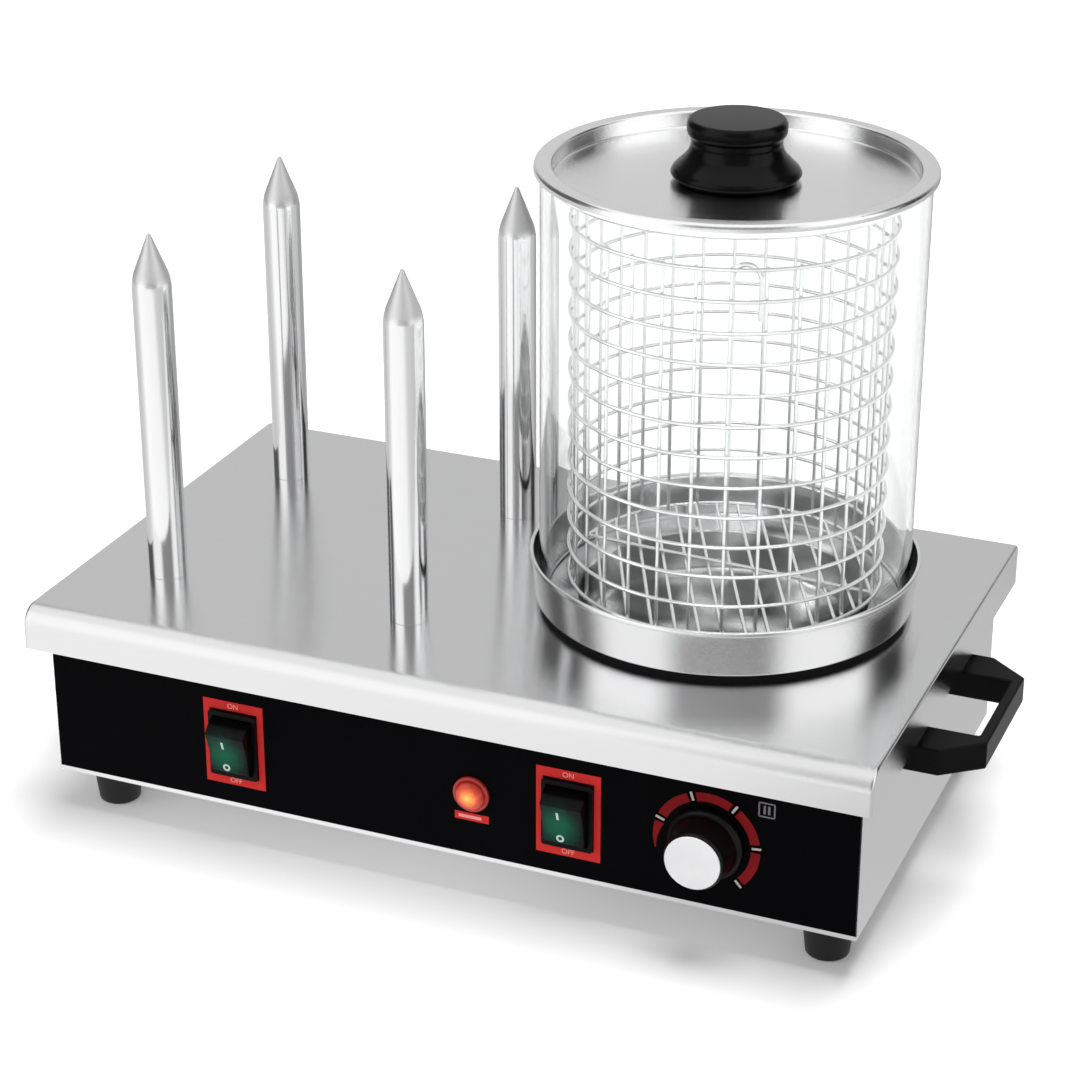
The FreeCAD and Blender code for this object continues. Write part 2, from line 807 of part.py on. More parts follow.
def make_basket_cage():
    """Rings and uprights welded into one cage, which stands on a few longer uprights."""
    inner = basket_radius - basket_wire
    rings = []
    for index in range(basket_ring_count):
        low = basket_floor_z + index * basket_ring_pitch
        rings.append(post(steamer, basket_radius, low, low + basket_wire)
                     .cut(post(steamer, inner, low, low + basket_wire)))
    top = basket_floor_z + (basket_ring_count - 1) * basket_ring_pitch + basket_wire / 2
    uprights = []
    for index in range(basket_upright_count):
        low = ledge_z if index % basket_leg_step == 0 else basket_floor_z + basket_wire / 2
        upright = block((steamer_x + inner + upright_inset, steamer_x + basket_radius - upright_inset),
                        centred(steamer_y, basket_wire - 2 * upright_inset), (low, top))
        upright.rotate(Vector(steamer_x, steamer_y, 0), Z_AXIS, 360 / basket_upright_count * index)
        uprights.append(upright)
    return rings[0].multiFuse(rings[1:] + uprights)


def make_basket_floor():
    """Parallel wires inside the lowest ring, held by one cross wire that lies on them."""
    reach = basket_radius - basket_wire - basket_join_gap
    low = basket_floor_z
    wires = []
    for index in range(-floor_wire_side_count, floor_wire_side_count + 1):
        offset = floor_wire_shift + index * floor_wire_pitch
        wire = block(centred(0, 2 * reach), centred(offset, floor_wire), (low, low + floor_wire))
        wire.rotate(Vector(0, 0, 0), Z_AXIS, floor_wire_angle)
        wires.append(wire)
    cross_low = low + floor_wire - cross_wire_bite
    cross_wire = block(centred(0, 2 * reach), centred(0, floor_wire), (cross_low, cross_low + floor_wire))
    cross_wire.rotate(Vector(0, 0, 0), Z_AXIS, cross_wire_angle)
    wires.append(cross_wire)
    for wire in wires:
        wire.translate(Vector(steamer_x, steamer_y, 0))
    grille = wires[0].multiFuse(wires[1:])
    return grille.common(post(steamer, reach, low - cut_margin, cross_low + floor_wire + cut_margin))


def make_basket_rod():
    """The upright rod in the middle of the basket, bent over into a lifting hook."""
    low = basket_floor_z + 2 * floor_wire - cross_wire_bite + basket_join_gap
    arc_z = top_z + lift_rod_top - lift_hook_radius
    start = Vector(steamer_x, steamer_y, low)
    arc_start = Vector(steamer_x, steamer_y, arc_z)
    arc_top = Vector(steamer_x + lift_hook_radius, steamer_y, arc_z + lift_hook_radius)
    arc_end = Vector(steamer_x + 2 * lift_hook_radius, steamer_y, arc_z)
    end = arc_end - Z_AXIS * lift_hook_drop
    path = Part.Wire([
        Part.makeLine(start, arc_start), Part.Arc(arc_start, arc_top, arc_end).toShape(),
        Part.makeLine(arc_end, end)])
    section = Part.Wire(Part.makeCircle(lift_rod_radius, start, Z_AXIS))
    return path.makePipeShell([section], True, False)


def make_side_handle(side):
    """A bent flat grip seen from above as a wide U with cut corners."""
    root = body_width / 2
    outline = [
        (root, -handle_length / 2),
        (root + handle_knee_reach, -handle_length / 2),
        (root + handle_reach, -handle_grip_length / 2),
        (root + handle_reach, handle_grip_length / 2),
        (root + handle_knee_reach, handle_length / 2),
        (root, handle_length / 2),
        (root, handle_gap_length / 2),
        (root + handle_reach - handle_grip_width, handle_gap_length / 2),
        (root + handle_reach - handle_grip_width, -handle_gap_length / 2),
        (root, -handle_gap_length / 2),
    ]
    low = handle_top_z - handle_thickness
    points = [Vector(side * x, y, low) for x, y in outline]
    handle = Part.Face(Part.makePolygon(points + points[:1])).extrude(Vector(0, 0, handle_thickness))
    on_wall = root + edge_tolerance
    round_edges = [edge for edge in handle.Edges
                   if max(abs(vertex.X) for vertex in edge.Vertexes) > on_wall]
    handle = handle.makeFillet(handle_edge_radius, round_edges)
    bores = []
    for place_y in centred(0, handle_screw_spacing):
        limits = sorted((side * (root - cut_margin), side * (root + handle_screw_length)))
        bores.append(bar_x(place_y, handle_screw_z, handle_screw_radius + screw_hole_clearance, *limits))
    return handle.cut(bores)


def make_handle_screws():
    screws = []
    for side in (-1, 1):
        for place_y in centred(0, handle_screw_spacing):
            seat = Vector(side * (body_width / 2 - casing_sheet), place_y, handle_screw_z)
            screws.append(screw(handle_screw_radius, handle_screw_length, seat, X_AXIS * side))
    return Part.makeCompound(screws)


def make_switch_housing(switch_x):
    """The bezel and box of a rocker switch, open at the front, with a hole for each pin."""
    bezel = block(centred(switch_x, bezel_width), (bezel_face_y, panel_face_y),
                  centred(control_z, bezel_height))
    corner_edges = [edge for edge in bezel.Edges if edge.BoundBox.YLength > bezel_thickness / 2]
    bezel = bezel.makeFillet(bezel_corner_radius, corner_edges)
    body = block(centred(switch_x, switch_body_width),
                 (panel_face_y - weld_depth, panel_face_y + switch_body_depth),
                 centred(control_z, switch_body_height))
    cavity = block(centred(switch_x, rocker_width + 2 * rocker_side_clearance),
                   (bezel_face_y - cut_margin, bezel_face_y + switch_cavity_depth),
                   centred(control_z, 2 * (rocker_radius + rocker_end_clearance)))
    pin_hole = bar_x(rocker_pivot_y, control_z, rocker_pin_radius + rocker_pin_clearance,
                     *centred(switch_x, switch_body_width + 2 * cut_margin))
    return bezel.fuse(body).removeSplitter().cut([cavity, pin_hole])


def make_rocker(switch_x):
    """The rocker at its off position, with its upper end standing out."""
    def at(reach, rise):
        return Vector(switch_x - rocker_width / 2, rocker_pivot_y - reach, control_z + rise)

    half = math.sqrt(rocker_radius ** 2 - rocker_face_reach ** 2)
    corner_angle = math.degrees(math.acos(rocker_face_reach / rocker_radius))

    def on_arc(angle):
        turn = math.radians(angle)
        return at(rocker_radius * math.cos(turn), rocker_radius * math.sin(turn))

    middle_angle = (corner_angle + rocker_arc_end) / 2
    edges = [
        Part.makeLine(at(rocker_face_reach, -half), at(rocker_face_reach - rocker_face_dip, 0)),
        Part.makeLine(at(rocker_face_reach - rocker_face_dip, 0), at(rocker_face_reach, half)),
        Part.Arc(on_arc(corner_angle), on_arc(middle_angle), on_arc(rocker_arc_end)).toShape(),
        Part.makeLine(on_arc(rocker_arc_end), at(-rocker_back_reach, rocker_back_half)),
        Part.makeLine(at(-rocker_back_reach, rocker_back_half), at(-rocker_back_reach, -rocker_back_half)),
        Part.makeLine(at(-rocker_back_reach, -rocker_back_half), on_arc(-rocker_arc_end)),
        Part.Arc(on_arc(-rocker_arc_end), on_arc(-middle_angle), on_arc(-corner_angle)).toShape(),
    ]
    body = Part.Face(Part.Wire(edges)).extrude(Vector(rocker_width, 0, 0))
    pin_end = rocker_width / 2 + rocker_pin_length
    pin = bar_x(rocker_pivot_y, control_z, rocker_pin_radius, switch_x - pin_end, switch_x + pin_end)
    rocker = body.fuse(pin).removeSplitter()
    rocker.rotate(Vector(switch_x, rocker_pivot_y, control_z), X_AXIS, rocker_tilt)
    return rocker


def make_switch_terminals():
    back_y = panel_face_y + switch_body_depth
    blades = []
    for switch_x in (left_switch_x, right_switch_x):
        for blade_x in centred(switch_x, terminal_spacing_x):
            for blade_z in centred(control_z, terminal_spacing_z):
                blades.append(block(centred(blade_x, terminal_thickness), (back_y, back_y + terminal_length),
                                    centred(blade_z, terminal_width)))
    return Part.makeCompound(blades)


def make_lamp_lens():
    """A domed lens on a thin flange, with a stem that sits in the lamp holder."""
    def at(radius, reach):
        return Vector(lamp_x + radius, panel_face_y - reach, control_z)

    rim = lamp_flange_thickness
    rise = lamp_dome_height - rim
    sphere = (lamp_dome_radius ** 2 + rise ** 2) / (2 * rise)
    half_turn = math.asin(lamp_dome_radius / sphere) / 2
    mid = at(sphere * math.sin(half_turn), lamp_dome_height - sphere * (1 - math.cos(half_turn)))
    corners = [at(0, -lamp_lens_stem_length), at(lamp_lens_stem_radius, -lamp_lens_stem_length),
               at(lamp_lens_stem_radius, 0), at(lamp_flange_radius, 0),
               at(lamp_flange_radius, rim), at(lamp_dome_radius, rim)]
    crown = at(0, lamp_dome_height)
    edges = [Part.makeLine(start, end) for start, end in zip(corners, corners[1:])]
    edges.append(Part.Arc(corners[-1], mid, crown).toShape())
    edges.append(Part.makeLine(crown, corners[0]))
    return Part.Face(Part.Wire(edges)).revolve(Vector(lamp_x, 0, control_z), Y_AXIS, 360)


def make_lamp_holder():
    bore = lamp_lens_stem_radius + lamp_hole_clearance
    outline = [
        (0, -lamp_barrel_length),
        (lamp_barrel_radius, -lamp_barrel_length),
        (lamp_barrel_radius, 0),
        (bore, 0),
        (bore, -lamp_lens_stem_length),
        (0, -lamp_lens_stem_length),
    ]
    return turned_to_front(outline, lamp_x, control_z)


def make_lamp_nut():
    seat = Vector(lamp_x, panel_back_y, control_z)
    body = hexagon(lamp_nut_width, lamp_nut_height, seat, Y_AXIS)
    bore = bar_y(lamp_x, control_z, lamp_barrel_radius + nut_bore_clearance,
                 panel_back_y, panel_back_y + lamp_nut_height)
    return body.cut(bore)


def make_thermostat_body():
    case = block(centred(dial_x, thermostat_width), (panel_back_y, panel_back_y + thermostat_depth),
                 centred(control_z, thermostat_height))
    bush = bar_y(dial_x, control_z, bush_radius, panel_face_y - bush_reach, panel_back_y + weld_depth)
    bore = bar_y(dial_x, control_z, spindle_radius + spindle_clearance,
                 panel_face_y - bush_reach - cut_margin, panel_face_y + spindle_body_depth)
    threads = [bar_y(screw_x, control_z, thermostat_screw_radius + screw_hole_clearance,
                     panel_back_y - cut_margin, panel_face_y + thermostat_screw_length + cut_margin)
               for screw_x in centred(dial_x, thermostat_screw_spacing)]
    return case.fuse(bush).removeSplitter().cut([bore] + threads)


def make_thermostat_screws():
    return Part.makeCompound([
        screw(thermostat_screw_radius, thermostat_screw_length,
              Vector(screw_x, panel_face_y, control_z), Y_AXIS)
        for screw_x in centred(dial_x, thermostat_screw_spacing)])


def make_control_knob():
    """A skirted knob, hollow at the back, with a boss on the spindle and a seat for its cap."""
    face = knob_reach - knob_cap_thickness + knob_cap_seat
    bore = spindle_radius + spindle_clearance
    bore_end = bush_reach + spindle_knob_depth + spindle_end_gap
    outline = [
        (bore, knob_boss_start),
        (knob_boss_radius, knob_boss_start),
        (knob_boss_radius, knob_back_depth),
        (knob_back_radius, knob_back_depth),
        (knob_back_radius, knob_panel_gap),
        (knob_skirt_radius, knob_panel_gap),
        (knob_skirt_radius, knob_skirt_height),
        (knob_body_radius, knob_body_start),
        (knob_face_radius, face - knob_edge_chamfer),
        (knob_face_radius - knob_edge_chamfer / 2, face),
        (knob_cap_radius + knob_cap_clearance, face),
        (knob_cap_radius + knob_cap_clearance, face - knob_cap_seat),
        (0, face - knob_cap_seat),
        (0, bore_end),
        (bore, bore_end),
    ]
    knob = turned_to_front(outline, dial_x, control_z)
    pointer = block((dial_x + knob_body_radius - cut_margin, dial_x + knob_skirt_radius - weld_depth),
                    (panel_face_y - knob_body_start, panel_face_y - knob_skirt_height + weld_depth),
                    centred(control_z, knob_pointer_width))
    pointer.rotate(Vector(dial_x, 0, control_z), -Y_AXIS, knob_pointer_angle)
    return knob.fuse(pointer).removeSplitter()


def make_knob_cap():
    return bar_y(dial_x, control_z, knob_cap_radius,
                 panel_face_y - knob_reach, panel_face_y - knob_reach + knob_cap_thickness)


def make_knob_spindle():
    return bar_y(dial_x, control_z, spindle_radius,
                 panel_face_y - bush_reach - spindle_knob_depth,
                 panel_face_y + spindle_body_depth - spindle_end_gap)


def make_cable_gland():
    """A cord gland: a hexagonal seat and domed nut outside, a threaded barrel inside."""
    wall_y = body_depth / 2
    seat = hexagon(gland_hex_width, gland_hex_height, Vector(gland_x, wall_y, gland_z), Y_AXIS)
    dome_low = wall_y + gland_hex_height
    dome_high = wall_y + gland_reach
    outline = [
        Vector(gland_x, dome_low, gland_z),
        Vector(gland_x + gland_dome_radius, dome_low, gland_z),
        Vector(gland_x + gland_dome_radius, dome_high - gland_taper_length, gland_z),
        Vector(gland_x + gland_mouth_radius, dome_high, gland_z),
        Vector(gland_x, dome_high, gland_z),
    ]
    dome = Part.Face(Part.makePolygon(outline + outline[:1])).revolve(Vector(gland_x, 0, gland_z), Y_AXIS, 360)
    barrel_low = wall_y - casing_sheet - gland_barrel_length
    barrel = bar_y(gland_x, gland_z, gland_barrel_radius, barrel_low, wall_y + weld_depth)
    bore = bar_y(gland_x, gland_z, gland_bore_radius, *shrunk((barrel_low, dome_high), -cut_margin))
    return seat.fuse([dome, barrel]).removeSplitter().cut(bore)


def make_gland_nut():
    seat = Vector(gland_x, body_depth / 2 - casing_sheet, gland_z)
    body = hexagon(gland_hex_width, gland_nut_height, seat, -Y_AXIS)
    bore = Part.makeCylinder(gland_barrel_radius + nut_bore_clearance, gland_nut_height, seat, -Y_AXIS)
    return body.cut(bore)


def make_terminal_block():
    length, width, height = terminal_block_size
    body = block(centred(gland_x, length), centred(terminal_block_y, width),
                 (floor_top_z, floor_top_z + height))
    pitch = length / terminal_well_count
    wells = []
    for index in range(terminal_well_count):
        well_x = gland_x + (index - (terminal_well_count - 1) / 2) * pitch
        wells.append(post((well_x, terminal_block_y), terminal_well_radius,
                          floor_top_z + height - terminal_well_depth, floor_top_z + height + cut_margin))
    return body.cut(wells)


def make_all():
    """Every piece of the warmer under the name of its node."""
    pieces = {
        "top_cover": make_top_cover(),
        "body_shell": make_body_shell(),
        "base_plate": make_base_plate(),
        "front_panel": make_front_panel(),
        "foot_screws": make_foot_screws(),
        "foot_nuts": make_foot_nuts(),
        "base_screws": make_base_screws(),
        "cover_nuts": make_cover_nuts(),
        "panel_nuts": make_panel_nuts(),
        "spike_nuts": make_spike_nuts(),
        "spike_heaters": make_spike_heaters(),
        "water_pan": make_water_pan(),
        "pan_gasket": make_pan_gasket(),
        "pan_nuts": make_pan_nuts(),
        "heater_plate": make_heater_plate(),
        "pan_heater": make_pan_heater(),
        "high_limit_cutout": make_high_limit_cutout(),
        "glass_cylinder": make_glass_cylinder(),
        "lid_plate": make_lid_plate(),
        "lid_knob": make_lid_knob(),
        "lid_knob_screw": make_lid_knob_screw(),
        "basket_cage": make_basket_cage(),
        "basket_floor": make_basket_floor(),
        "basket_rod": make_basket_rod(),
        "left_handle": make_side_handle(-1),
        "right_handle": make_side_handle(1),
        "handle_screws": make_handle_screws(),
        "left_switch_housing": make_switch_housing(left_switch_x),
        "right_switch_housing": make_switch_housing(right_switch_x),
        "left_rocker": make_rocker(left_switch_x),
        "right_rocker": make_rocker(right_switch_x),
        "switch_terminals": make_switch_terminals(),
        "lamp_lens": make_lamp_lens(),
        "lamp_holder": make_lamp_holder(),
        "lamp_nut": make_lamp_nut(),
        "thermostat_body": make_thermostat_body(),
        "thermostat_screws": make_thermostat_screws(),
        "control_knob": make_control_knob(),
        "knob_cap": make_knob_cap(),
        "knob_spindle": make_knob_spindle(),
        "cable_gland": make_cable_gland(),
        "gland_nut": make_gland_nut(),
        "terminal_block": make_terminal_block(),
    }
    for name, place in foot_places.items():
        pieces["foot_" + name] = make_foot(place)
    for name, place in spike_places.items():
        pieces["spike_" + name] = make_spike(place)
    return pieces


os.makedirs("parts", exist_ok=True)
for node, shape in make_all().items():
    shape.exportStep("parts/" + node + ".step")
    valid = "closed" if shape.isValid() else "broken"
    print(node, len(shape.Solids), "solids", round(shape.Volume), "mm3", valid)
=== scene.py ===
# %% [markdown]
# # A counter-top hot dog toaster
# A low steel casing carries four heated spikes for buns and a glass steamer with a wire basket.
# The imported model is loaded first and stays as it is: it says where everything is, in metres.
# Each step then adds a finish, or a piece that is rounder and finer than the loaded one.

# %% Load the frame
import json
import math

import bmesh
import bpy
from mathutils import Matrix, Vector


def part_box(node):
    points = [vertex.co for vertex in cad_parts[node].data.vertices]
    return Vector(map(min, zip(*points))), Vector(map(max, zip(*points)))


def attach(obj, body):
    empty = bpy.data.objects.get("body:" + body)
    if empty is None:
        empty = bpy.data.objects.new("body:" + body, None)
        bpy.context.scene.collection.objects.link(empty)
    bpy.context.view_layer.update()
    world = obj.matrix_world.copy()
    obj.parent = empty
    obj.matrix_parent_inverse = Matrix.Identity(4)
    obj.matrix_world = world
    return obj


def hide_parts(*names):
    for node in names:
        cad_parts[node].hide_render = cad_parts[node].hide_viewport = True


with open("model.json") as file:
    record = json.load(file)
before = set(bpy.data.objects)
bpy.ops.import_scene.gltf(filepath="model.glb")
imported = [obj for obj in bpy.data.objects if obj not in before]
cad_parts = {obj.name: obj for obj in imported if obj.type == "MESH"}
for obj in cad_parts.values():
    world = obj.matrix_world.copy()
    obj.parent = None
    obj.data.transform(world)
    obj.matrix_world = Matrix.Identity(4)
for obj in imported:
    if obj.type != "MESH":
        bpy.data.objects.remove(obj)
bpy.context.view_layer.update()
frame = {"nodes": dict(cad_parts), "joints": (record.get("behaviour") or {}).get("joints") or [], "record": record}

mm = 0.001


def middle(node):
    """The middle of a loaded node's box."""
    low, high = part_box(node)
    return (low + high) / 2


# %% [markdown]
# ## The camera
# The viewpoint was found by fitting the edges of the casing and the circles of the steamer to the
# photograph. It stands to the right of the front and looks down by about 25 degrees. A long lens
# keeps the verticals almost parallel, so no shift is needed.

# %% Place the camera
camera_place = Vector((0.5464, -1.3046, 0.8018))
camera_turn = math.radians(22.56)
camera_drop = math.radians(24.69)
sensor_width = 36.0
lens_length = 93.73
camera_data = bpy.data.cameras.new("camera")
camera_data.sensor_width = sensor_width
camera_data.lens = lens_length
camera = bpy.data.objects.new("camera", camera_data)
camera.location = camera_place
camera.rotation_euler = (math.pi / 2 - camera_drop, 0, camera_turn)
bpy.context.scene.collection.objects.link(camera)
bpy.context.scene.camera = camera
print("camera lens", lens_length, "mm")

# %% [markdown]
# ## A pen for materials
# A finish is a small sum of patterns. Writing it with node calls alone hides the sum, so one class
# wraps a socket and lets Python's own operators add the Math nodes. One method makes every other
# node: first its settings, then the values or links of its sockets.

# %% Write shader sums as Python sums
class Tone:
    """One output in a material's node tree that can be added, multiplied and passed on."""

    def __init__(self, tree, socket=None):
        self.tree = tree
        self.socket = socket

    def node(self, kind, settings=None, sockets=None, output=0):
        made = self.tree.nodes.new(kind)
        for name, value in (settings or {}).items():
            if name == "stops":
                self.set_stops(made.color_ramp, value)
            else:
                setattr(made, name, value)
        for name, value in (sockets or {}).items():
            if isinstance(value, Tone):
                self.tree.links.new(value.socket, made.inputs[name])
            else:
                made.inputs[name].default_value = value
        return Tone(self.tree, made.outputs[output] if made.outputs else None)

    @staticmethod
    def set_stops(ramp, stops):
        for place, colour in stops[1:-1]:
            ramp.elements.new(place).color = colour
        for element, (place, colour) in ((ramp.elements[0], stops[0]), (ramp.elements[-1], stops[-1])):
            element.position = place
            element.color = colour

    def math(self, operation, first, second):
        return self.node("ShaderNodeMath", {"operation": operation}, {0: first, 1: second})

    def __add__(self, other):
        return self.math("ADD", self, other)

    def __sub__(self, other):
        return self.math("SUBTRACT", self, other)

    def __rsub__(self, other):
        return self.math("SUBTRACT", other, self)

    def __mul__(self, other):
        return self.math("MULTIPLY", self, other)

    def __truediv__(self, other):
        return self.math("DIVIDE", self, other)

    def __rtruediv__(self, other):
        return self.math("DIVIDE", other, self)

    __radd__ = __add__
    __rmul__ = __mul__


# %% Start and close a material
finishes = {}


def blank(name):
    """An empty material, kept under its name, and a pen to draw its nodes with."""
    material = bpy.data.materials.new(name)
    finishes[name] = material
    material.use_nodes = True
    material.node_tree.nodes.clear()
    return material, Tone(material.node_tree)


def close(material, shader):
    """Join a shader to the material's output."""
    shader.node("ShaderNodeOutputMaterial", {}, {"Surface": shader})
    print("finish", material.name, "with", len(material.node_tree.nodes), "nodes")
    return material


def principled(material, pen, sockets):
    """Close a material with a Principled shader."""
    return close(material, pen.node("ShaderNodeBsdfPrincipled", {}, sockets))


# %% Patterns
def surface(pen):
    """Where a point of the surface lies, in Object coordinates."""
    return pen.node("ShaderNodeTexCoord", output="Object")


def noise(pen, place, stretch, detail=2.0):
    """Soft noise, with this many features per metre along each axis."""
    mapped = pen.node("ShaderNodeMapping", {}, {"Vector": place, "Scale": stretch})
    return pen.node("ShaderNodeTexNoise", {}, {"Vector": mapped, "Scale": 1.0, "Detail": detail}, "Fac")


def solid(tone, share=1.0):
    """A tone, or a share of it, as a colour with alpha."""
    return tuple(share * part for part in tone) + (1.0,)


def blend(pen, share, first, second):
    """A colour between two colours."""
    return pen.node("ShaderNodeMix", {"data_type": "RGBA"}, {0: share, 6: first, 7: second}, 2)


def fade(pen, value, start, end, low=0.0, high=1.0):
    """A value that goes from low to high while another one goes from start to end."""
    return pen.node("ShaderNodeMapRange", {}, {
        "Value": value, "From Min": start, "From Max": end, "To Min": low, "To Max": high})


def ramp(pen, share, stops):
    """A colour that goes through these stops."""
    return pen.node("ShaderNodeValToRGB", {"stops": stops}, {"Fac": share}, "Color")


def bump(pen, height, depth):
    """A surface normal for a height pattern that is this deep, in metres."""
    return pen.node("ShaderNodeBump", {}, {"Height": height, "Distance": depth, "Strength": 1.0})


# %% Steps of vector arithmetic
def vector(pen, operation, first, second=(0, 0, 0)):
    return pen.node("ShaderNodeVectorMath", {"operation": operation}, {0: first, 1: second})


def length(pen, arrow):
    return pen.node("ShaderNodeVectorMath", {"operation": "LENGTH"}, {0: arrow}, "Value")


def scaled(pen, arrow, size):
    return pen.node("ShaderNodeVectorMath", {"operation": "SCALE"}, {0: arrow, "Scale": size})


def part_of(pen, arrow, axis):
    return pen.node("ShaderNodeSeparateXYZ", {}, {0: arrow}, axis)


def from_axis(pen, place, centre, weights):
    """The way from an axis through this centre. The axis is the direction whose weight is 0."""
    return vector(pen, "MULTIPLY", vector(pen, "SUBTRACT", place, centre), weights)


def scratched(pen, place, across):
    """A surface normal that leans to and fro across the scratches, by a grain too fine to see."""
    grain = noise(pen, place, (4000, 4000, 4000), 1.0)
    facing = pen.node("ShaderNodeNewGeometry", output="Normal")
    return vector(pen, "NORMALIZE", vector(pen, "ADD", facing, scaled(pen, across, grain - 0.5)))


# %% [markdown]
# ## Brushed sheet steel
# The casing is stainless sheet, brushed along its length. The fine scratches run from left to right,
# so a reflection stays sharp along them and smears across them, from front to back. A very fine
# noise leans the surface normal to and fro across the scratches. It is finer than a pixel, so what
# shows is the smear and not the single scratch, and faint long streaks of tone hint at the brushing.

# %% Brushed sheet
def make_brushed_sheet(name, tone, rough, lean):
    material, pen = blank(name)
    place = surface(pen)
    streak = noise(pen, place, (2.5, 400, 400))
    patch = noise(pen, place, (6, 8, 8))
    return principled(material, pen, {
        "Base Color": blend(pen, streak * 0.6 + patch * 0.4, solid(tone, 0.95), solid(tone)),
        "Metallic": 1.0,
        "Roughness": rough + 0.05 * patch,
        "Normal": scratched(pen, place, (0, lean, lean)),
    })


cover_steel = make_brushed_sheet("cover_steel", (0.80, 0.80, 0.805), rough=0.10, lean=0.65)
make_brushed_sheet("casing_steel", (0.84, 0.84, 0.845), rough=0.20, lean=0.4)
lid_steel = make_brushed_sheet("lid_steel", (0.97, 0.97, 0.975), rough=0.12, lean=0.7)

# %% [markdown]
# ## Spun steel
# The pan was polished while it turned, so its scratches are rings round an upright axis. The normal
# leans outwards and upwards instead of from front to back. Vector Math finds the direction outwards
# and the distance from the axis, which also tells the inside of the pan, darkened by painted shade.

# %% Spun steel
def make_spun_steel(name, centre, tone, rough, lean, inner_radius, well_shade_tone, inner_tone):
    material, pen = blank(name)
    place = surface(pen)
    flat = from_axis(pen, place, centre, (1, 1, 0))
    across = scaled(pen, vector(pen, "ADD", vector(pen, "NORMALIZE", flat), (0, 0, 1)), lean)
    patch = noise(pen, place, (14, 14, 14))
    edge = length(pen, flat) + 0.02 * patch
    # Inside the well the base colour turns to painted shade, dark in noisy patches.
    inside = fade(pen, edge, inner_radius + 2 * mm, inner_radius + 14 * mm, 1.0, 0.0)
    shade_patches = fade(pen, noise(pen, place, (26, 26, 26), 1.0), 0.43, 0.60)
    inner = blend(pen, shade_patches, solid(well_shade_tone), solid(inner_tone))
    return principled(material, pen, {
        "Base Color": blend(pen, inside, solid(tone), inner),
        "Metallic": 1.0,
        "Roughness": rough + 0.06 * patch,
        "Normal": scratched(pen, place, across),
    })


steamer = middle("glass_cylinder")
pan_steel = make_spun_steel(
    "pan_steel", steamer, (0.90, 0.90, 0.905), rough=0.12, lean=0.6,
    inner_radius=92 * mm, well_shade_tone=(0.06, 0.06, 0.06), inner_tone=(0.85, 0.85, 0.85))

# %% [markdown]
# ## Bright metal
# The spikes are polished nearly to a mirror, and the basket is bright plated wire. Both only need a
# faint unevenness in their roughness, so that a long reflection breaks up a little. The spikes' cones
# were ground after the tubes were polished, so above a given height the finish turns satin. The
# fasteners and the plain metals inside the casing use the same function.

# %% Bright metal
out_of_reach = 10.0
satin = 0.45


def make_bright_metal(name, tone, rough, spread, fine=900, ground_from=out_of_reach):
    """Bright metal that turns satin above the height ground_from."""
    material, pen = blank(name)
    place = surface(pen)
    haze = noise(pen, place, (30, 30, 8), 3.0)
    line = noise(pen, place, (60, 60, fine))
    ground = fade(pen, part_of(pen, place, "Z"), ground_from - 3 * mm, ground_from + 2 * mm)
    return principled(material, pen, {
        "Base Color": blend(pen, haze, solid(tone, 0.9), solid(tone)),
        "Metallic": 1.0,
        "Roughness": rough + spread * haze + satin * ground,
        "Normal": bump(pen, line, 1.2e-6),
    })


cone_height = 25 * mm
spike_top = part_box("spike_front_left")[1].z
spike_steel = make_bright_metal("spike_steel", (0.94, 0.94, 0.945), rough=0.09, spread=0.05,
                                fine=2500, ground_from=spike_top - cone_height)
wire_steel = make_bright_metal("basket_wire", (0.90, 0.90, 0.90), rough=0.20, spread=0.08)
make_bright_metal("fastener_steel", (0.52, 0.52, 0.53), rough=0.28, spread=0.10)
make_bright_metal("heater_steel", (0.36, 0.34, 0.32), rough=0.40, spread=0.12)
make_bright_metal("heater_aluminium", (0.66, 0.66, 0.67), rough=0.42, spread=0.10)
make_bright_metal("terminal_brass", (0.70, 0.52, 0.22), rough=0.30, spread=0.08)

# %% [markdown]
# ## Moulded plastic, rubber and print
# Black mouldings differ mostly in gloss and in how fine their grain is. The same short function
# covers them all: a fine grain for the bump, a slow noise for the gloss, and a low specular level
# where the real surface stays black even in a white room. On the grips a painted reflection makes
# the faces that point to the sides paler: the surface's own direction mixes in a little grey. The
# prints and the pale cap of the knob have the same kind of skin in other colours.

# %% Mouldings
def make_moulding(name, tone, rough, grain=3000, depth=2e-6, specular=0.5, side_sheen=0.0):
    material, pen = blank(name)
    place = surface(pen)
    pebble = noise(pen, place, (grain, grain, grain))
    patch = noise(pen, place, (40, 40, 40))
    light = solid(1.25 * part + 0.0008 for part in tone)
    # Painted reflection: faces that point to the sides get a little grey in their base colour.
    sideways = part_of(pen, pen.node("ShaderNodeNewGeometry", output="Normal"), "X")
    painted_side_sheen = fade(pen, pen.math("ABSOLUTE", sideways, 0.0), 0.8, 1.0, 0.0, side_sheen)
    shade = blend(pen, patch, solid(tone), light)
    return principled(material, pen, {
        "Base Color": blend(pen, painted_side_sheen, shade, (0.5, 0.5, 0.5, 1.0)),
        "Roughness": rough + 0.08 * patch,
        "Specular IOR Level": specular,
        "Normal": bump(pen, pebble, depth),
    })


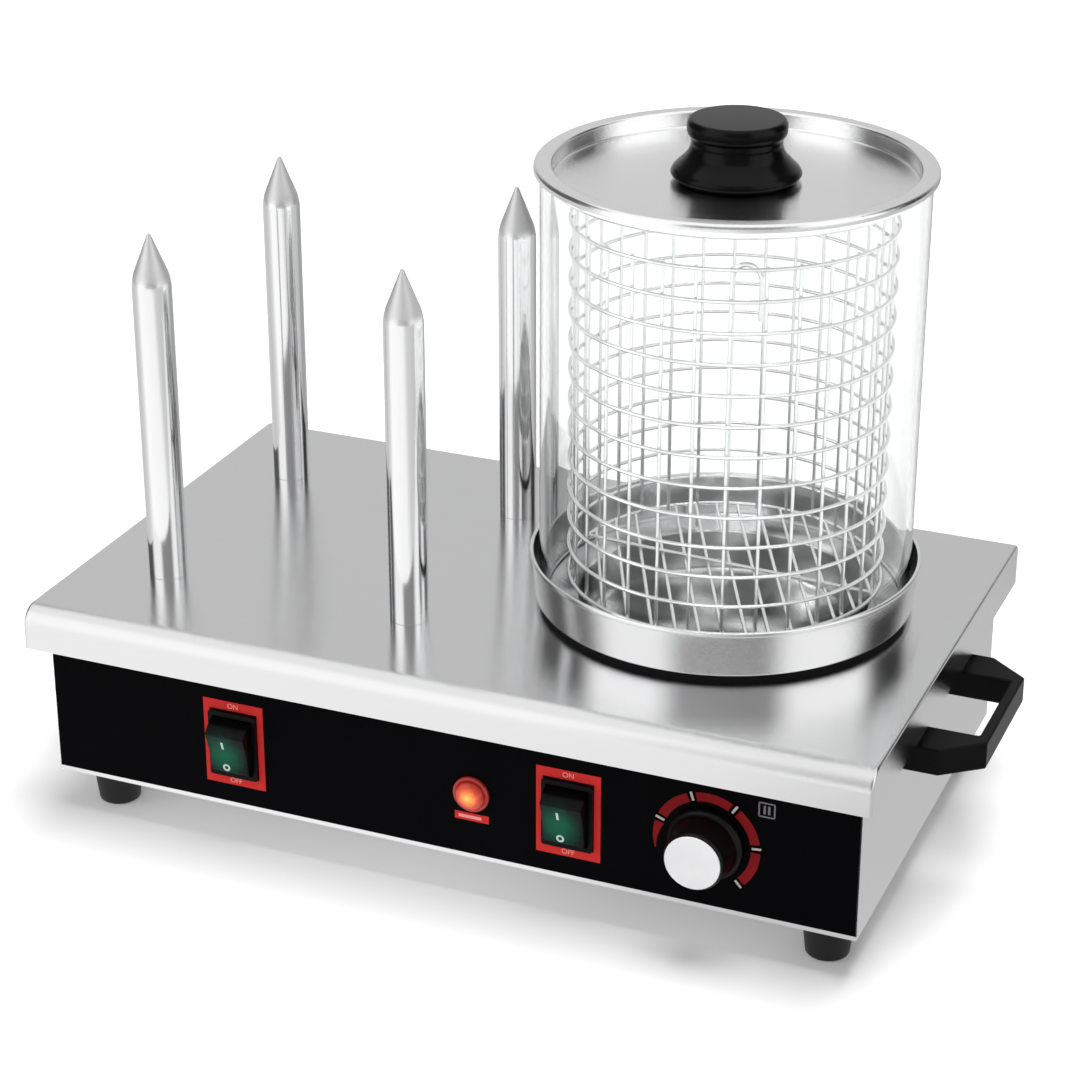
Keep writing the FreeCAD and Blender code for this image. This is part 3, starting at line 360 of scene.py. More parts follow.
black = (0.002, 0.002, 0.002)
make_moulding("black_panel", (0.001, 0.001, 0.0015), 0.40, specular=0.02)
gloss_black = make_moulding("gloss_black", black, 0.14, specular=0.14)
make_moulding("handle_black", black, 0.38, 1800, 8e-6, specular=0.10, side_sheen=0.10)
knob_black = make_moulding("knob_black", black, 0.30, specular=0.20)
foot_black = make_moulding("foot_rubber", (0.006, 0.006, 0.006), 0.55, 1500, 1e-5, specular=0.3)
make_moulding("gasket_rubber", (0.004, 0.004, 0.004), 0.70, 1500, 1e-5, specular=0.2)
make_moulding("insulator_plastic", (0.62, 0.60, 0.55), 0.45)
cap_silver = make_moulding("cap_silver", (0.72, 0.72, 0.73), 0.35, 900, 8e-6)
make_moulding("housing_black", black, 0.25, specular=0.08)
print_red = make_moulding("print_red", (0.56, 0.028, 0.026), 0.5, specular=0.05)
print_dark_red = make_moulding("print_dark_red", (0.20, 0.007, 0.010), 0.5, specular=0.05)
print_pink = make_moulding("print_pink", (0.78, 0.30, 0.27), 0.5, specular=0.05)
print_pale = make_moulding("print_pale", (0.50, 0.42, 0.40), 0.5, specular=0.05)
print_white = make_moulding("print_white", (0.48, 0.58, 0.53), 0.5, specular=0.1)
print_grey = make_moulding("print_grey", (0.16, 0.15, 0.16), 0.5, specular=0.05)

# %% [markdown]
# ## Glass
# The steamer's cylinder is clear glass. A Principled shader with full transmission bends light as
# the real wall does. Layer Weight makes it a little greyer where it is seen edge on, so that its
# outline stays readable against a white background.

# %% Clear glass
def make_clear_glass():
    material, pen = blank("clear_glass")
    wave = noise(pen, surface(pen), (9, 9, 3), 1.0)
    edge = pen.node("ShaderNodeLayerWeight", {}, {"Blend": 0.35}, "Facing")
    return principled(material, pen, {
        "Base Color": blend(pen, edge, (0.955, 0.96, 0.96, 1.0), (0.80, 0.81, 0.81, 1.0)),
        "Roughness": 0.0,
        "IOR": 1.46,
        "Transmission Weight": 1.0,
        "Normal": bump(pen, wave, 2e-5),
    })


clear_glass = make_clear_glass()

# %% [markdown]
# ## The lit lamp
# The signal lamp is an orange-red lens with a small lamp glowing behind it. The glow is a spot in
# the middle that fades outwards, so its colour comes from the distance to the lens's own axis.

# %% Signal lamp
lamp = middle("lamp_lens")
lamp_flange = 10.3 * mm


def make_lamp_red():
    material, pen = blank("lamp_red")
    place = surface(pen)
    radius = length(pen, from_axis(pen, place, lamp, (1, 0, 1)))
    uneven = noise(pen, place, (330, 330, 330))
    shade = ramp(pen, radius / lamp_flange + 0.28 * uneven - 0.14, [
        (0.0, (1.0, 0.50, 0.12, 1)), (0.30, (0.92, 0.24, 0.04, 1)), (0.54, (0.60, 0.06, 0.02, 1)),
        (0.80, (0.34, 0.015, 0.01, 1)), (1.0, (0.24, 0.012, 0.01, 1))])
    return principled(material, pen, {
        "Base Color": shade,
        "Emission Color": shade,
        "Emission Strength": 0.35,
        "Roughness": 0.18,
    })


lamp_red = make_lamp_red()

# %% [markdown]
# ## Smoked green rockers
# The rockers are smoked green plastic, lit from behind on the lower half. That glow and the shade at
# the edges are painted: the green is clear in a soft spot and falls off to black at the edges, so the
# colour again comes from a distance.

# %% Rocker green
painted_glow_spot = Vector((-2.5 * mm, 0, -3.5 * mm))
painted_glow_reach = 16 * mm


def rocker_pivot(side):
    joint = next(item for item in frame["joints"] if item["name"] == side + "_rocker_turn")
    return Vector(joint["pos_m"])


def make_rocker_green(side):
    material, pen = blank(side + "_rocker_green")
    place = surface(pen)
    radius = length(pen, from_axis(pen, place, rocker_pivot(side) + painted_glow_spot, (1, 0, 0.9)))
    uneven = noise(pen, place, (260, 260, 260), 3.0)
    # Painted glow and shade: bright green in the soft spot, falling off to black at the edges.
    shade = ramp(pen, radius / painted_glow_reach + 0.2 * uneven - 0.1, [
        (0.0, (0.002, 0.110, 0.055, 1)), (0.32, (0.002, 0.082, 0.042, 1)),
        (0.60, (0.001, 0.036, 0.022, 1)), (0.82, (0.001, 0.008, 0.006, 1)),
        (1.0, (0.002, 0.002, 0.002, 1))])
    return principled(material, pen, {
        "Base Color": shade,
        "Roughness": 0.22 + 0.06 * uneven,
        "Specular IOR Level": 0.10,
    })


for side in ("left", "right"):
    make_rocker_green(side)

# %% [markdown]
# ## Tools for pieces
# Most new pieces are turned on a lathe: a profile is spun round an axis, and its rings are rounded
# off. Every piece ends in one function that merges doubles, turns faces outwards, smooths what is
# round, keeps real edges sharp and hands the piece to its body. Weighted normals let large faces
# rule the shading, so a flat wall stays flat beside its bevel.

# %% Finish a piece
merge_gap = 2e-6
crisp = 38.0
soft = 60.0


def place_mesh(name, work, material=None):
    """Put a mesh into the scene as an object."""
    mesh = bpy.data.meshes.new(name)
    work.to_mesh(mesh)
    work.free()
    if material:
        mesh.materials.append(material)
    placed = bpy.data.objects.new(name, mesh)
    bpy.context.scene.collection.objects.link(placed)
    return placed


def hand_over(name, work, material, body, sharp=crisp):
    """Make a piece of a mesh. Edges that turn by more than this many degrees stay sharp."""
    bmesh.ops.remove_doubles(work, verts=work.verts, dist=merge_gap)
    bmesh.ops.recalc_face_normals(work, faces=work.faces)
    if work.calc_volume(signed=True) < 0:
        bmesh.ops.reverse_faces(work, faces=work.faces)
    for face in work.faces:
        face.smooth = True
    for edge in work.edges:
        edge.smooth = edge.calc_face_angle(math.pi) < math.radians(sharp)
    piece = place_mesh(name, work, material)
    even = piece.modifiers.new("even_shading", "WEIGHTED_NORMAL")
    even.keep_sharp = True
    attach(piece, body)
    print("made", name, "with", len(piece.data.polygons), "faces")
    return piece


# %% Move and round off
def shift(work, x, y, z=0.0):
    """Move a whole mesh."""
    bmesh.ops.translate(work, verts=work.verts, vec=(x, y, z))
    return work


def set_on_front(work, x, y, z):
    """Turn a mesh that was built along +Z to point out of the front, and put it at this place."""
    turn = Matrix.Translation((x, y, z)) @ Matrix.Rotation(math.pi / 2, 4, "X")
    bmesh.ops.transform(work, matrix=turn, verts=work.verts)
    return work


def edges_where(work, test):
    """The edges whose two ends both pass a test of their place."""
    return [edge for edge in work.edges if all(test(vert.co) for vert in edge.verts)]


def round_off(work, edges, radius, segments):
    bmesh.ops.bevel(work, geom=edges, offset=radius, offset_type="OFFSET", segments=segments,
                    profile=0.5, affect="EDGES", material=-1)


def add_block(work, low, high):
    """A plain block between two corners."""
    size = Matrix.Diagonal(Vector(high) - Vector(low)).to_4x4()
    move = Matrix.Translation((Vector(high) + Vector(low)) / 2)
    bmesh.ops.create_cube(work, size=1.0, matrix=move @ size)


# %% The lathe
same_ring = 1e-6
ring_segments = 4


def spin_round(work, geometry, steps):
    bmesh.ops.spin(work, geom=geometry, cent=(0, 0, 0), axis=(0, 0, 1),
                   angle=2 * math.pi, steps=steps, use_merge=True)


def lathe(profile, steps=96):
    """Spin a closed profile of (radius, height, rounding) round Z and round off its rings."""
    work = bmesh.new()
    points = [work.verts.new((radius, 0, height)) for radius, height, rounding in profile]
    lines = [work.edges.new(pair) for pair in zip(points, points[1:] + points[:1])]
    spin_round(work, points + lines, steps)
    bmesh.ops.remove_doubles(work, verts=work.verts, dist=merge_gap)
    for radius, height, rounding in profile:
        if rounding > 0:
            ring = edges_where(work, lambda at: abs(at.z - height) < same_ring
                               and abs(at.xy.length - radius) < same_ring)
            round_off(work, ring, rounding, ring_segments)
    return work


def in_mm(profile):
    """A profile that was written in millimetres, in metres."""
    return [tuple(mm * value for value in point) for point in profile]


# %% [markdown]
# ## The folded cover
# The cover is one sheet folded down on all four sides. The front fold is generous, the others are
# tight, and the corners are welded and ground. It starts as a block without a floor: the fold edges
# are rounded, the sheet gets its thickness, and a round cutter opens it for the pan.

# %% Folded cover
cover_low, cover_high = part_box("top_cover")
cover_lip = 24 * mm
cover_low.z = cover_high.z - cover_lip
sheet = 1.2 * mm
front_fold = 11 * mm
back_fold = 4 * mm
side_fold = 1.8 * mm
pan_hole = 81 * mm
near = 1e-5


def make_cover():
    work = bmesh.new()
    add_block(work, cover_low, cover_high)
    floor = [face for face in work.faces if face.calc_center_median().z < cover_low.z + near]
    bmesh.ops.delete(work, geom=floor, context="FACES_ONLY")
    top = cover_high.z - near
    front = edges_where(work, lambda at: at.z > top and at.y < cover_low.y + near)
    round_off(work, front, front_fold, 10)
    back = edges_where(work, lambda at: at.z > top and at.y > cover_high.y - near)
    round_off(work, back, back_fold, 5)
    sides = []
    for side_x in (cover_low.x, cover_high.x):
        outline = edges_where(work, lambda at: abs(at.x - side_x) < near)
        sides += [edge for edge in outline
                  if max(vert.co.z for vert in edge.verts) > cover_low.z + near]
    round_off(work, sides, side_fold, 4)
    bmesh.ops.recalc_face_normals(work, faces=work.faces)
    bmesh.ops.solidify(work, geom=work.faces[:], thickness=sheet)
    return work


def cut_round_hole(piece, centre, radius):
    """Open a round hole through a piece with a cutter that is removed again."""
    cutter_work = bmesh.new()
    bmesh.ops.create_cone(cutter_work, cap_ends=True, segments=96, radius1=radius, radius2=radius,
                          depth=20 * mm, matrix=Matrix.Translation(centre))
    cutter = place_mesh("cutter", cutter_work)
    cut = piece.modifiers.new("hole", "BOOLEAN")
    cut.operation = "DIFFERENCE"
    cut.solver = "EXACT"
    cut.object = cutter
    seen = piece.evaluated_get(bpy.context.evaluated_depsgraph_get())
    holed = bpy.data.meshes.new_from_object(seen)
    piece.modifiers.remove(cut)
    piece.data = holed
    bpy.data.objects.remove(cutter)
    print("opened", piece.name, "to", len(holed.polygons), "faces")


cover = hand_over("folded_cover", make_cover(), cover_steel, "casing")
cut_round_hole(cover, Vector((steamer.x, steamer.y, cover_high.z)), pan_hole)
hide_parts("top_cover")

# %% [markdown]
# ## The bun spikes
# Each spike is a polished tube that is closed by a long cone, and a thinner neck goes through the
# cover to its nut. The four are the same turned piece at four places, so a loop makes them.

# %% Bun spikes
corners = ["back_left", "back_right", "front_left", "front_right"]
spike_neck = 6 * mm
spike_shoulder = 5 * mm
spike_tip = 0.8 * mm


def make_spike(node):
    low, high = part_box(node)
    tube = (high.x - low.x) / 2
    work = lathe([
        (0, low.z, 0), (spike_neck, low.z, 0), (spike_neck, cover_high.z, 0),
        (tube, cover_high.z, 0.3 * mm), (tube, high.z - cone_height, spike_shoulder),
        (spike_tip, high.z, spike_tip / 2), (0, high.z, 0)], 64)
    centre = middle(node)
    shift(work, centre.x, centre.y)
    piece = hand_over(node + "_polished", work, spike_steel, "casing", soft)
    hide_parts(node)


for corner in corners:
    make_spike("spike_" + corner)

# %% [markdown]
# ## The water pan
# The pan is pressed from sheet: a well for the water, a ledge that the glass stands on, and a wall
# that leans out to a rolled rim. One closed profile holds both faces of the sheet, and the bead at
# the rim is a rounded bulge of the same profile.

# %% Water pan
skin = 1.0 * mm
well = 80 * mm
well_depth = 23 * mm
ledge_rise = 3.5 * mm
wall_foot = 102.8 * mm


def make_pan():
    low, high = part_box("water_pan")
    rim = (high.x - low.x) / 2
    ledge = cover_high.z + ledge_rise
    bottom = cover_high.z - well_depth
    work = lathe([
        (0, bottom, 0), (well, bottom, 5.5 * mm), (well, ledge, 0.4 * mm), (wall_foot, ledge, 1.4 * mm),
        (rim - 0.1 * mm, high.z - 2.6 * mm, 0.2 * mm), (rim + 0.5 * mm, high.z - 2.0 * mm, 0.3 * mm),
        (rim + 0.5 * mm, high.z - 0.4 * mm, 0.3 * mm), (rim - 0.2 * mm, high.z, 0.3 * mm),
        (rim - 1.2 * mm, high.z, 0.3 * mm), (rim - 1.6 * mm, high.z - 0.8 * mm, 0.2 * mm),
        (wall_foot - skin, ledge + skin, 0.6 * mm), (well - skin, ledge + skin, 1.2 * mm),
        (well - skin, bottom + skin, 4.5 * mm), (0, bottom + skin, 0)], 160)
    return shift(work, steamer.x, steamer.y)


pan = hand_over("spun_pan", make_pan(), pan_steel, "casing")
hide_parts("water_pan")

# %% [markdown]
# ## The glass cylinder
# The wall is a few millimetres thick, and its ends are ground round. Those rounded ends catch the
# light as a pale line, so they are modelled and not left square.

# %% Glass cylinder
glass_wall = 3.5 * mm
glass_rounding = 1.2 * mm


def make_glass():
    low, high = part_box("glass_cylinder")
    outer = (high.x - low.x) / 2
    inner = outer - glass_wall
    ends = [(inner, low.z), (outer, low.z), (outer, high.z), (inner, high.z)]
    work = lathe([(radius, height, glass_rounding) for radius, height in ends], 192)
    return shift(work, steamer.x, steamer.y)


glass = hand_over("clear_cylinder", make_glass(), clear_glass, "glass", soft)
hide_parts("glass_cylinder")

# %% [markdown]
# ## The lid and its knob
# The lid is pressed: a sunk disc, a short wall, a flange with a rounded edge and a skirt outside the
# glass. The knob is a black turned grip: a wide foot, a waist, and a flat top on a narrow groove.

# %% Lid
lid_low, lid_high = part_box("lid_plate")
lid_bore = 2.6 * mm
lid_wall = 94.5 * mm
lid_skirt = 4 * mm


def make_lid():
    edge = (lid_high.x - lid_low.x) / 2
    disc = lid_low.z + skin
    under = lid_high.z - skin
    skirt = lid_high.z - lid_skirt
    work = lathe([
        (lid_bore, lid_low.z, 0), (lid_wall + skin, lid_low.z, 1.8 * mm),
        (lid_wall + skin, under, 0.3 * mm), (edge - skin, under, 0.6 * mm),
        (edge - skin, skirt, 0.2 * mm), (edge, skirt, 0.3 * mm), (edge, lid_high.z, 2.2 * mm),
        (lid_wall, lid_high.z, 1.6 * mm), (lid_wall, disc, 1.2 * mm), (lid_bore, disc, 0)], 160)
    return shift(work, steamer.x, steamer.y)


lid = hand_over("pressed_lid", make_lid(), lid_steel, "lid")
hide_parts("lid_plate")

# %% Lid knob
def make_lid_knob():
    low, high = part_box("lid_knob")
    tall = (high.z - low.z) / mm
    bore, bore_depth = 2.65, 17
    work = lathe(in_mm([
        (bore, 0, 0), (30.5, 0, 1.0), (33.8, 3.2, 1.2), (33.6, 5.6, 2.0), (28.6, 10.2, 2.4),
        (25.0, 14.2, 1.6), (23.4, 19.0, 1.6), (24.0, 22.8, 0.6), (25.2, 24.0, 0.5), (25.9, 25.4, 0.8),
        (25.9, tall - 2.4, 1.6), (24.2, tall - 0.4, 0.8), (0, tall, 0),
        (0, bore_depth, 0), (bore, bore_depth, 0)]))
    return shift(work, steamer.x, steamer.y, low.z)


lid_knob = hand_over("turned_lid_knob", make_lid_knob(), gloss_black, "lid", soft)
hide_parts("lid_knob")

# %% [markdown]
# ## The wire basket
# The basket is round plated wire: rings outside, uprights inside, a floor of parallel wires, one
# cross wire and a rod with a hook to lift it by. A ring is a small circle spun round the axis, and a
# straight wire is a thin cylinder with few sides, because there are many of them. The rod is a
# circle of edges that is drawn up, spun over into the hook and drawn down again.

# %% Basket wires
wire = 1.05 * mm
stacked = 2.9 * wire
ring_count = 13
upright_count = 30
leg_every = 10
wire_sides = 8
cage_low, cage_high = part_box("basket_cage")
cage_radius = (cage_high.x - cage_low.x) / 2
floor_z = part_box("basket_floor")[0].z
ring_pitch = (cage_high.z - floor_z - 2 * wire) / (ring_count - 1)


def add_ring(work, radius, height):
    turn = Matrix.Translation((radius, 0, height)) @ Matrix.Rotation(math.pi / 2, 4, "X")
    made = bmesh.ops.create_circle(work, segments=wire_sides, radius=wire, matrix=turn)
    circle_edges = {edge for vert in made["verts"] for edge in vert.link_edges}
    spin_round(work, made["verts"] + list(circle_edges), 96)


def add_straight(work, start, end):
    run = end - start
    turn = run.to_track_quat("Z", "Y").to_matrix().to_4x4()
    bmesh.ops.create_cone(work, cap_ends=True, segments=wire_sides, radius1=wire, radius2=wire,
                          depth=run.length, matrix=Matrix.Translation((start + end) / 2) @ turn)


def make_cage():
    """Rings and uprights. Every tenth upright reaches below the floor, as a leg."""
    work = bmesh.new()
    for index in range(ring_count):
        add_ring(work, cage_radius - wire, floor_z + wire + index * ring_pitch)
    inside = cage_radius - stacked
    for index in range(upright_count):
        angle = 2 * math.pi / upright_count * index
        foot_z = cage_low.z if index % leg_every == 0 else floor_z
        start = Vector((inside * math.cos(angle), inside * math.sin(angle), foot_z))
        end = start.copy()
        end.z = cage_high.z
        add_straight(work, start, end)
    return shift(work, steamer.x, steamer.y)


cage = hand_over("wire_cage", make_cage(), wire_steel, "basket", soft)
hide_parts("basket_cage")

# %% Basket floor
floor_angle = math.radians(114.5)
cross_angle = math.radians(-3.5)
floor_pitch = 11.9 * mm
floor_shift = -3.3 * mm
floor_half_count = 6


def chord(offset, reach, angle, height):
    """The two ends of a wire across the basket, this far from its middle."""
    half = math.sqrt(reach ** 2 - offset ** 2)
    along = Vector((math.cos(angle), math.sin(angle), 0))
    across = Vector((-along.y, along.x, 0))
    centre = across * offset + Vector((0, 0, height))
    return centre - along * half, centre + along * half


def make_floor():
    work = bmesh.new()
    reach = cage_radius - 2 * wire
    for index in range(-floor_half_count, floor_half_count + 1):
        start, end = chord(floor_shift + index * floor_pitch, reach, floor_angle, floor_z + wire)
        add_straight(work, start, end)
    start, end = chord(0, reach, cross_angle, floor_z + stacked)
    add_straight(work, start, end)
    return shift(work, steamer.x, steamer.y)


grille = hand_over("wire_floor", make_floor(), wire_steel, "basket", soft)
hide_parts("basket_floor")

# %% Lifting rod
rod_low, rod_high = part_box("basket_rod")
rod_thick = 1.5 * mm
hook_drop = 22 * mm


def grow_tube(work, edges, rise):
    """Extrude an open ring of edges upwards and return the new ring."""
    grown = bmesh.ops.extrude_edge_only(work, edges=edges)["geom"]
    moved = [item for item in grown if isinstance(item, bmesh.types.BMVert)]
    bmesh.ops.translate(work, verts=moved, vec=(0, 0, rise))
    return [edge for edge in grown if isinstance(edge, bmesh.types.BMEdge) and edge.is_boundary]


def make_rod():
    bend = (rod_high.x - rod_low.x) / 2 - rod_thick
    arc_z = rod_high.z - rod_thick - bend
    work = bmesh.new()
    start = Matrix.Translation((0, 0, rod_low.z))
    bmesh.ops.create_circle(work, segments=12, radius=rod_thick, matrix=start)
    ring = grow_tube(work, work.edges[:], arc_z - rod_low.z)
    spun = bmesh.ops.spin(work, geom=ring, cent=(bend, 0, arc_z), axis=(0, 1, 0),
                          angle=math.pi, steps=16)
    ring = [item for item in spun["geom_last"] if isinstance(item, bmesh.types.BMEdge)]
    grow_tube(work, ring, -hook_drop)
    bmesh.ops.remove_doubles(work, verts=work.verts, dist=merge_gap)
    bmesh.ops.holes_fill(work, edges=[edge for edge in work.edges if edge.is_boundary])
    return shift(work, steamer.x, steamer.y)


rod = hand_over("hooked_rod", make_rod(), wire_steel, "basket", soft)
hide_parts("basket_rod")

# %% [markdown]
# ## The control knob
# The knob has a skirt that covers its screws, a grip that narrows towards you and a pale satin cap.
# The loaded nodes set the places; the new pieces only round the edges.

# %% Control knob
dial = middle("knob_cap")
panel_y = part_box("front_panel")[0].y
cap_radius = 14.9 * mm


def make_knob():
    bore, bore_depth = 3.05, 18.1
    work = lathe(in_mm([
        (bore, 3.4, 0), (6, 3.4, 0), (6, 4.6, 0), (18.3, 4.6, 0), (18.3, 0.6, 0), (20.5, 0.6, 0.4),
        (20.4, 3.2, 1.0), (17.9, 5.4, 1.4), (16.2, 20.0, 0.9), (15.3, 21.2, 0.3), (15.0, 21.2, 0.15),
        (15.0, 20.2, 0), (0, 20.2, 0), (0, bore_depth, 0), (bore, bore_depth, 0)]))
    return set_on_front(work, dial.x, panel_y, dial.z)


knob = hand_over("turned_knob", make_knob(), knob_black, "knob")
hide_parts("control_knob")


def make_cap():
    low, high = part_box("knob_cap")
    thick = high.y - low.y
    work = lathe([(0, 0, 0), (cap_radius, 0, 0), (cap_radius, thick, 0.5 * mm), (0, thick, 0)])
    return set_on_front(work, dial.x, high.y, dial.z)


cap = hand_over("spun_cap", make_cap(), cap_silver, "knob")
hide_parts("knob_cap")

# %% [markdown]
# ## The lamp's lens and the feet
# The lens is a shallow dome on a thin flange. The feet are cones of rubber with a rounded lower edge
# and a recess for the screw. All are turned.

# %% Lens
def make_lens():
    flange = lamp_flange / mm
    work = lathe(in_mm([
        (0, -6, 0), (5, -6, 0), (5, 0, 0), (flange, 0, 0.2), (flange, 1.5, 0.5), (8.8, 1.8, 0.3),
        (8.2, 3.4, 0.8), (6.4, 5.0, 1.0), (3.6, 5.9, 1.2), (0, 6.2, 0)]), 64)
    return set_on_front(work, lamp.x, panel_y, lamp.z)


lens = hand_over("domed_lens", make_lens(), lamp_red, "casing", soft)
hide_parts("lamp_lens")

# %% Feet
def make_foot(node):
    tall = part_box(node)[1].z / mm
    bore, recess, recess_top = 2.65, 5, 12
    work = lathe(in_mm([
        (bore, recess_top, 0), (recess, recess_top, 0), (recess, 0, 0.3), (11.5, 0, 1.6),
        (14.2, tall - 2, 0.8), (14.5, tall, 0.3), (bore, tall, 0)]), 64)
    centre = middle(node)
    shift(work, centre.x, centre.y)
    piece = hand_over(node + "_moulded", work, foot_black, "casing")
    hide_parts(node)


for corner in corners:
    make_foot("foot_" + corner)

# %% [markdown]
# ## Printing on the panel
# The panel is printed: a red frame round each switch, a ring of red arcs with pale marks round the
# knob, a small label under the lamp and a small sign. Prints are thin plates that stand a tenth of a
# millimetre proud, which stay crisp at any distance.

# %% Switch frames
ink = 0.12 * mm
frame_outer = (18 * mm, 25.5 * mm)
frame_inner = (14.3 * mm, 20 * mm)


def thicken(work, depth):
    """Give a flat mesh a thickness."""
    grown = bmesh.ops.extrude_face_region(work, geom=work.faces[:])["geom"]
    moved = [item for item in grown if isinstance(item, bmesh.types.BMVert)]
    bmesh.ops.translate(work, verts=moved, vec=(0, 0, depth))


def make_frame_print(centre):
    """A band round a switch: a grid of three by three faces without its middle one."""
    work = bmesh.new()
    bmesh.ops.create_grid(work, x_segments=3, y_segments=3, size=1.5)
    hole = min(work.faces, key=lambda face: face.calc_center_median().length)
    bmesh.ops.delete(work, geom=[hole], context="FACES_ONLY")
    for vert in work.verts:
        for axis in (0, 1):
            half = frame_outer[axis] if abs(vert.co[axis]) > 1 else frame_inner[axis]
            vert.co[axis] = math.copysign(half, vert.co[axis])
    thicken(work, ink)
    return set_on_front(work, centre.x, panel_y, centre.z)


# %% Words
word_size = 4.2 * mm
word_rises = {"ON": 22.7 * mm, "OFF": -22.8 * mm}


def make_words(name, words, place, material):
    """Raised lettering on the panel, made a mesh."""
    text = bpy.data.curves.new(name, "FONT")
    text.body = words
    text.size = word_size
    text.align_x = "CENTER"
    text.align_y = "CENTER"
    text.extrude = ink / 2
    carrier = bpy.data.objects.new(name + "_text", text)
    bpy.context.scene.collection.objects.link(carrier)
    bpy.context.view_layer.update()
    mesh = bpy.data.meshes.new_from_object(carrier)
    work = bmesh.new()
    work.from_mesh(mesh)
    bpy.data.objects.remove(carrier)
    return hand_over(name, set_on_front(work, *place), material, "casing")


for side in ("left", "right"):
    switch = middle(side + "_switch_housing")
    hand_over(side + "_switch_print", make_frame_print(switch), print_red, "casing")
    for words, rise in word_rises.items():
        place = (switch.x, panel_y - 1.5 * ink, switch.z + rise)
        make_words(side + "_" + words.lower(), words, place, print_pink)

# %% Dial print
ring_inner = 23.8 * mm
ring_outer = 28.9 * mm
ring_tail = 28.3 * mm
tick_angles = [160, 108, 57, 5, -49]
arc_ends = [202] + tick_angles
arc_gap = 5.0
arc_steps = 14
tick_long = 5.0 * mm
tick_wide = 1.3 * mm
tick_out = 0.5 * mm


def add_arc(work, start, end, inner_start):
    """A flat arc about the dial. Its inner edge may start further out, which makes a pointed tail."""
    rows = []
    for index in range(arc_steps + 1):
        share = index / arc_steps
        angle = math.radians(start + (end - start) * share)
        inner = inner_start + (ring_inner - inner_start) * share
        rows.append([work.verts.new((radius * math.cos(angle), radius * math.sin(angle), 0))
                     for radius in (inner, ring_outer)])
    lines = [work.edges.new(row) for row in rows]
    for first, second in zip(lines, lines[1:]):
        bmesh.ops.bridge_loops(work, edges=[first, second])


def make_ring_print():
    work = bmesh.new()
    for first, second in zip(arc_ends, arc_ends[1:]):
        inner = ring_tail if first == arc_ends[0] else ring_inner
        add_arc(work, first - arc_gap, second + arc_gap, inner)
    thicken(work, ink)
    return set_on_front(work, dial.x, panel_y, dial.z)


def make_tick_print():
    work = bmesh.new()
    size = Matrix.Diagonal(Vector((tick_long, tick_wide, ink))).to_4x4()
    move = Matrix.Translation(((ring_inner + ring_outer) / 2 + tick_out, 0, ink / 2))
    for angle in tick_angles:
        turn = Matrix.Rotation(math.radians(angle), 4, "Z")
        bmesh.ops.create_cube(work, size=1.0, matrix=turn @ move @ size)
    return set_on_front(work, dial.x, panel_y, dial.z)


hand_over("dial_ring_print", make_ring_print(), print_dark_red, "casing")
hand_over("dial_tick_print", make_tick_print(), print_pale, "casing")

# %% Label and sign
label_z = lamp.z - 14.1 * mm
label_bar_x = lamp.x - 1.0 * mm
sign_x = dial.x + 31.5 * mm
sign_z = dial.z + 26.0 * mm
sign_wide = 8.2 * mm
sign_tall = 7.8 * mm
sign_line = 0.8 * mm
sign_bar = 1.2 * mm


def make_plates(plates, lift=0.0):
    """Thin plates on the panel, each from the x and z of its middle, its width and its height."""
    work = bmesh.new()
    for x, z, wide, tall in plates:
        add_block(work, (x - wide / 2, panel_y - ink - lift, z - tall / 2),
                  (x + wide / 2, panel_y - lift, z + tall / 2))
    return work


label = make_plates([(lamp.x, label_z, 19.5 * mm, 4.6 * mm)])
hand_over("lamp_label", label, print_red, "casing")
label_bar = make_plates([(label_bar_x, label_z, 13.0 * mm, 1.8 * mm)], lift=ink)
hand_over("lamp_label_bar", label_bar, print_pink, "casing")

# The sign is a small outlined plate with two bars, the usual sign for a plate of hot food.
sign_plates = []
for way in (-1, 1):
    sign_plates += [
        (sign_x, sign_z + way * sign_tall / 2, sign_wide, sign_line),
        (sign_x + way * sign_wide / 2, sign_z, sign_line, sign_tall),
        (sign_x + way * sign_bar, sign_z, sign_bar, 4 * sign_bar)]
hand_over("food_sign", make_plates(sign_plates), print_grey, "casing")

# %% [markdown]
# ## The rockers
# A rocker is a drum that lies across the switch, with a flat face that dips in the middle. So it
# starts as a cylinder: one cut makes the face, one cut drops the hidden back, and a third only draws
# a line through the middle of the face, which is pushed in. The rocker is built facing up, and then
# turned to the front and tilted about its pivot.

# %% Rocker bodies
rocker_tilt = math.radians(12)
rocker_width = 23.0 * mm
drum_radius = 16.5 * mm
drum_back = 2.5 * mm
face_reach = 11.0 * mm
face_dip = 1.2 * mm
face_half = math.sqrt(drum_radius ** 2 - face_reach ** 2)
crest_turn = math.radians(20)
crest_rounding = 0.6 * mm


def rocker_matrix(side):
    return Matrix.Translation(rocker_pivot(side)) @ Matrix.Rotation(math.pi / 2 + rocker_tilt, 4, "X")


def cut_flat(work, place, normal, drop=True):
    """Cut a closed mesh with a plane. What lies beyond it is dropped and the cut is closed."""
    made = bmesh.ops.bisect_plane(work, geom=work.verts[:] + work.edges[:] + work.faces[:],
                                  plane_co=place, plane_no=normal, clear_outer=drop)
    if drop:
        rim = [item for item in made["geom_cut"] if isinstance(item, bmesh.types.BMEdge)]
        bmesh.ops.holes_fill(work, edges=rim)


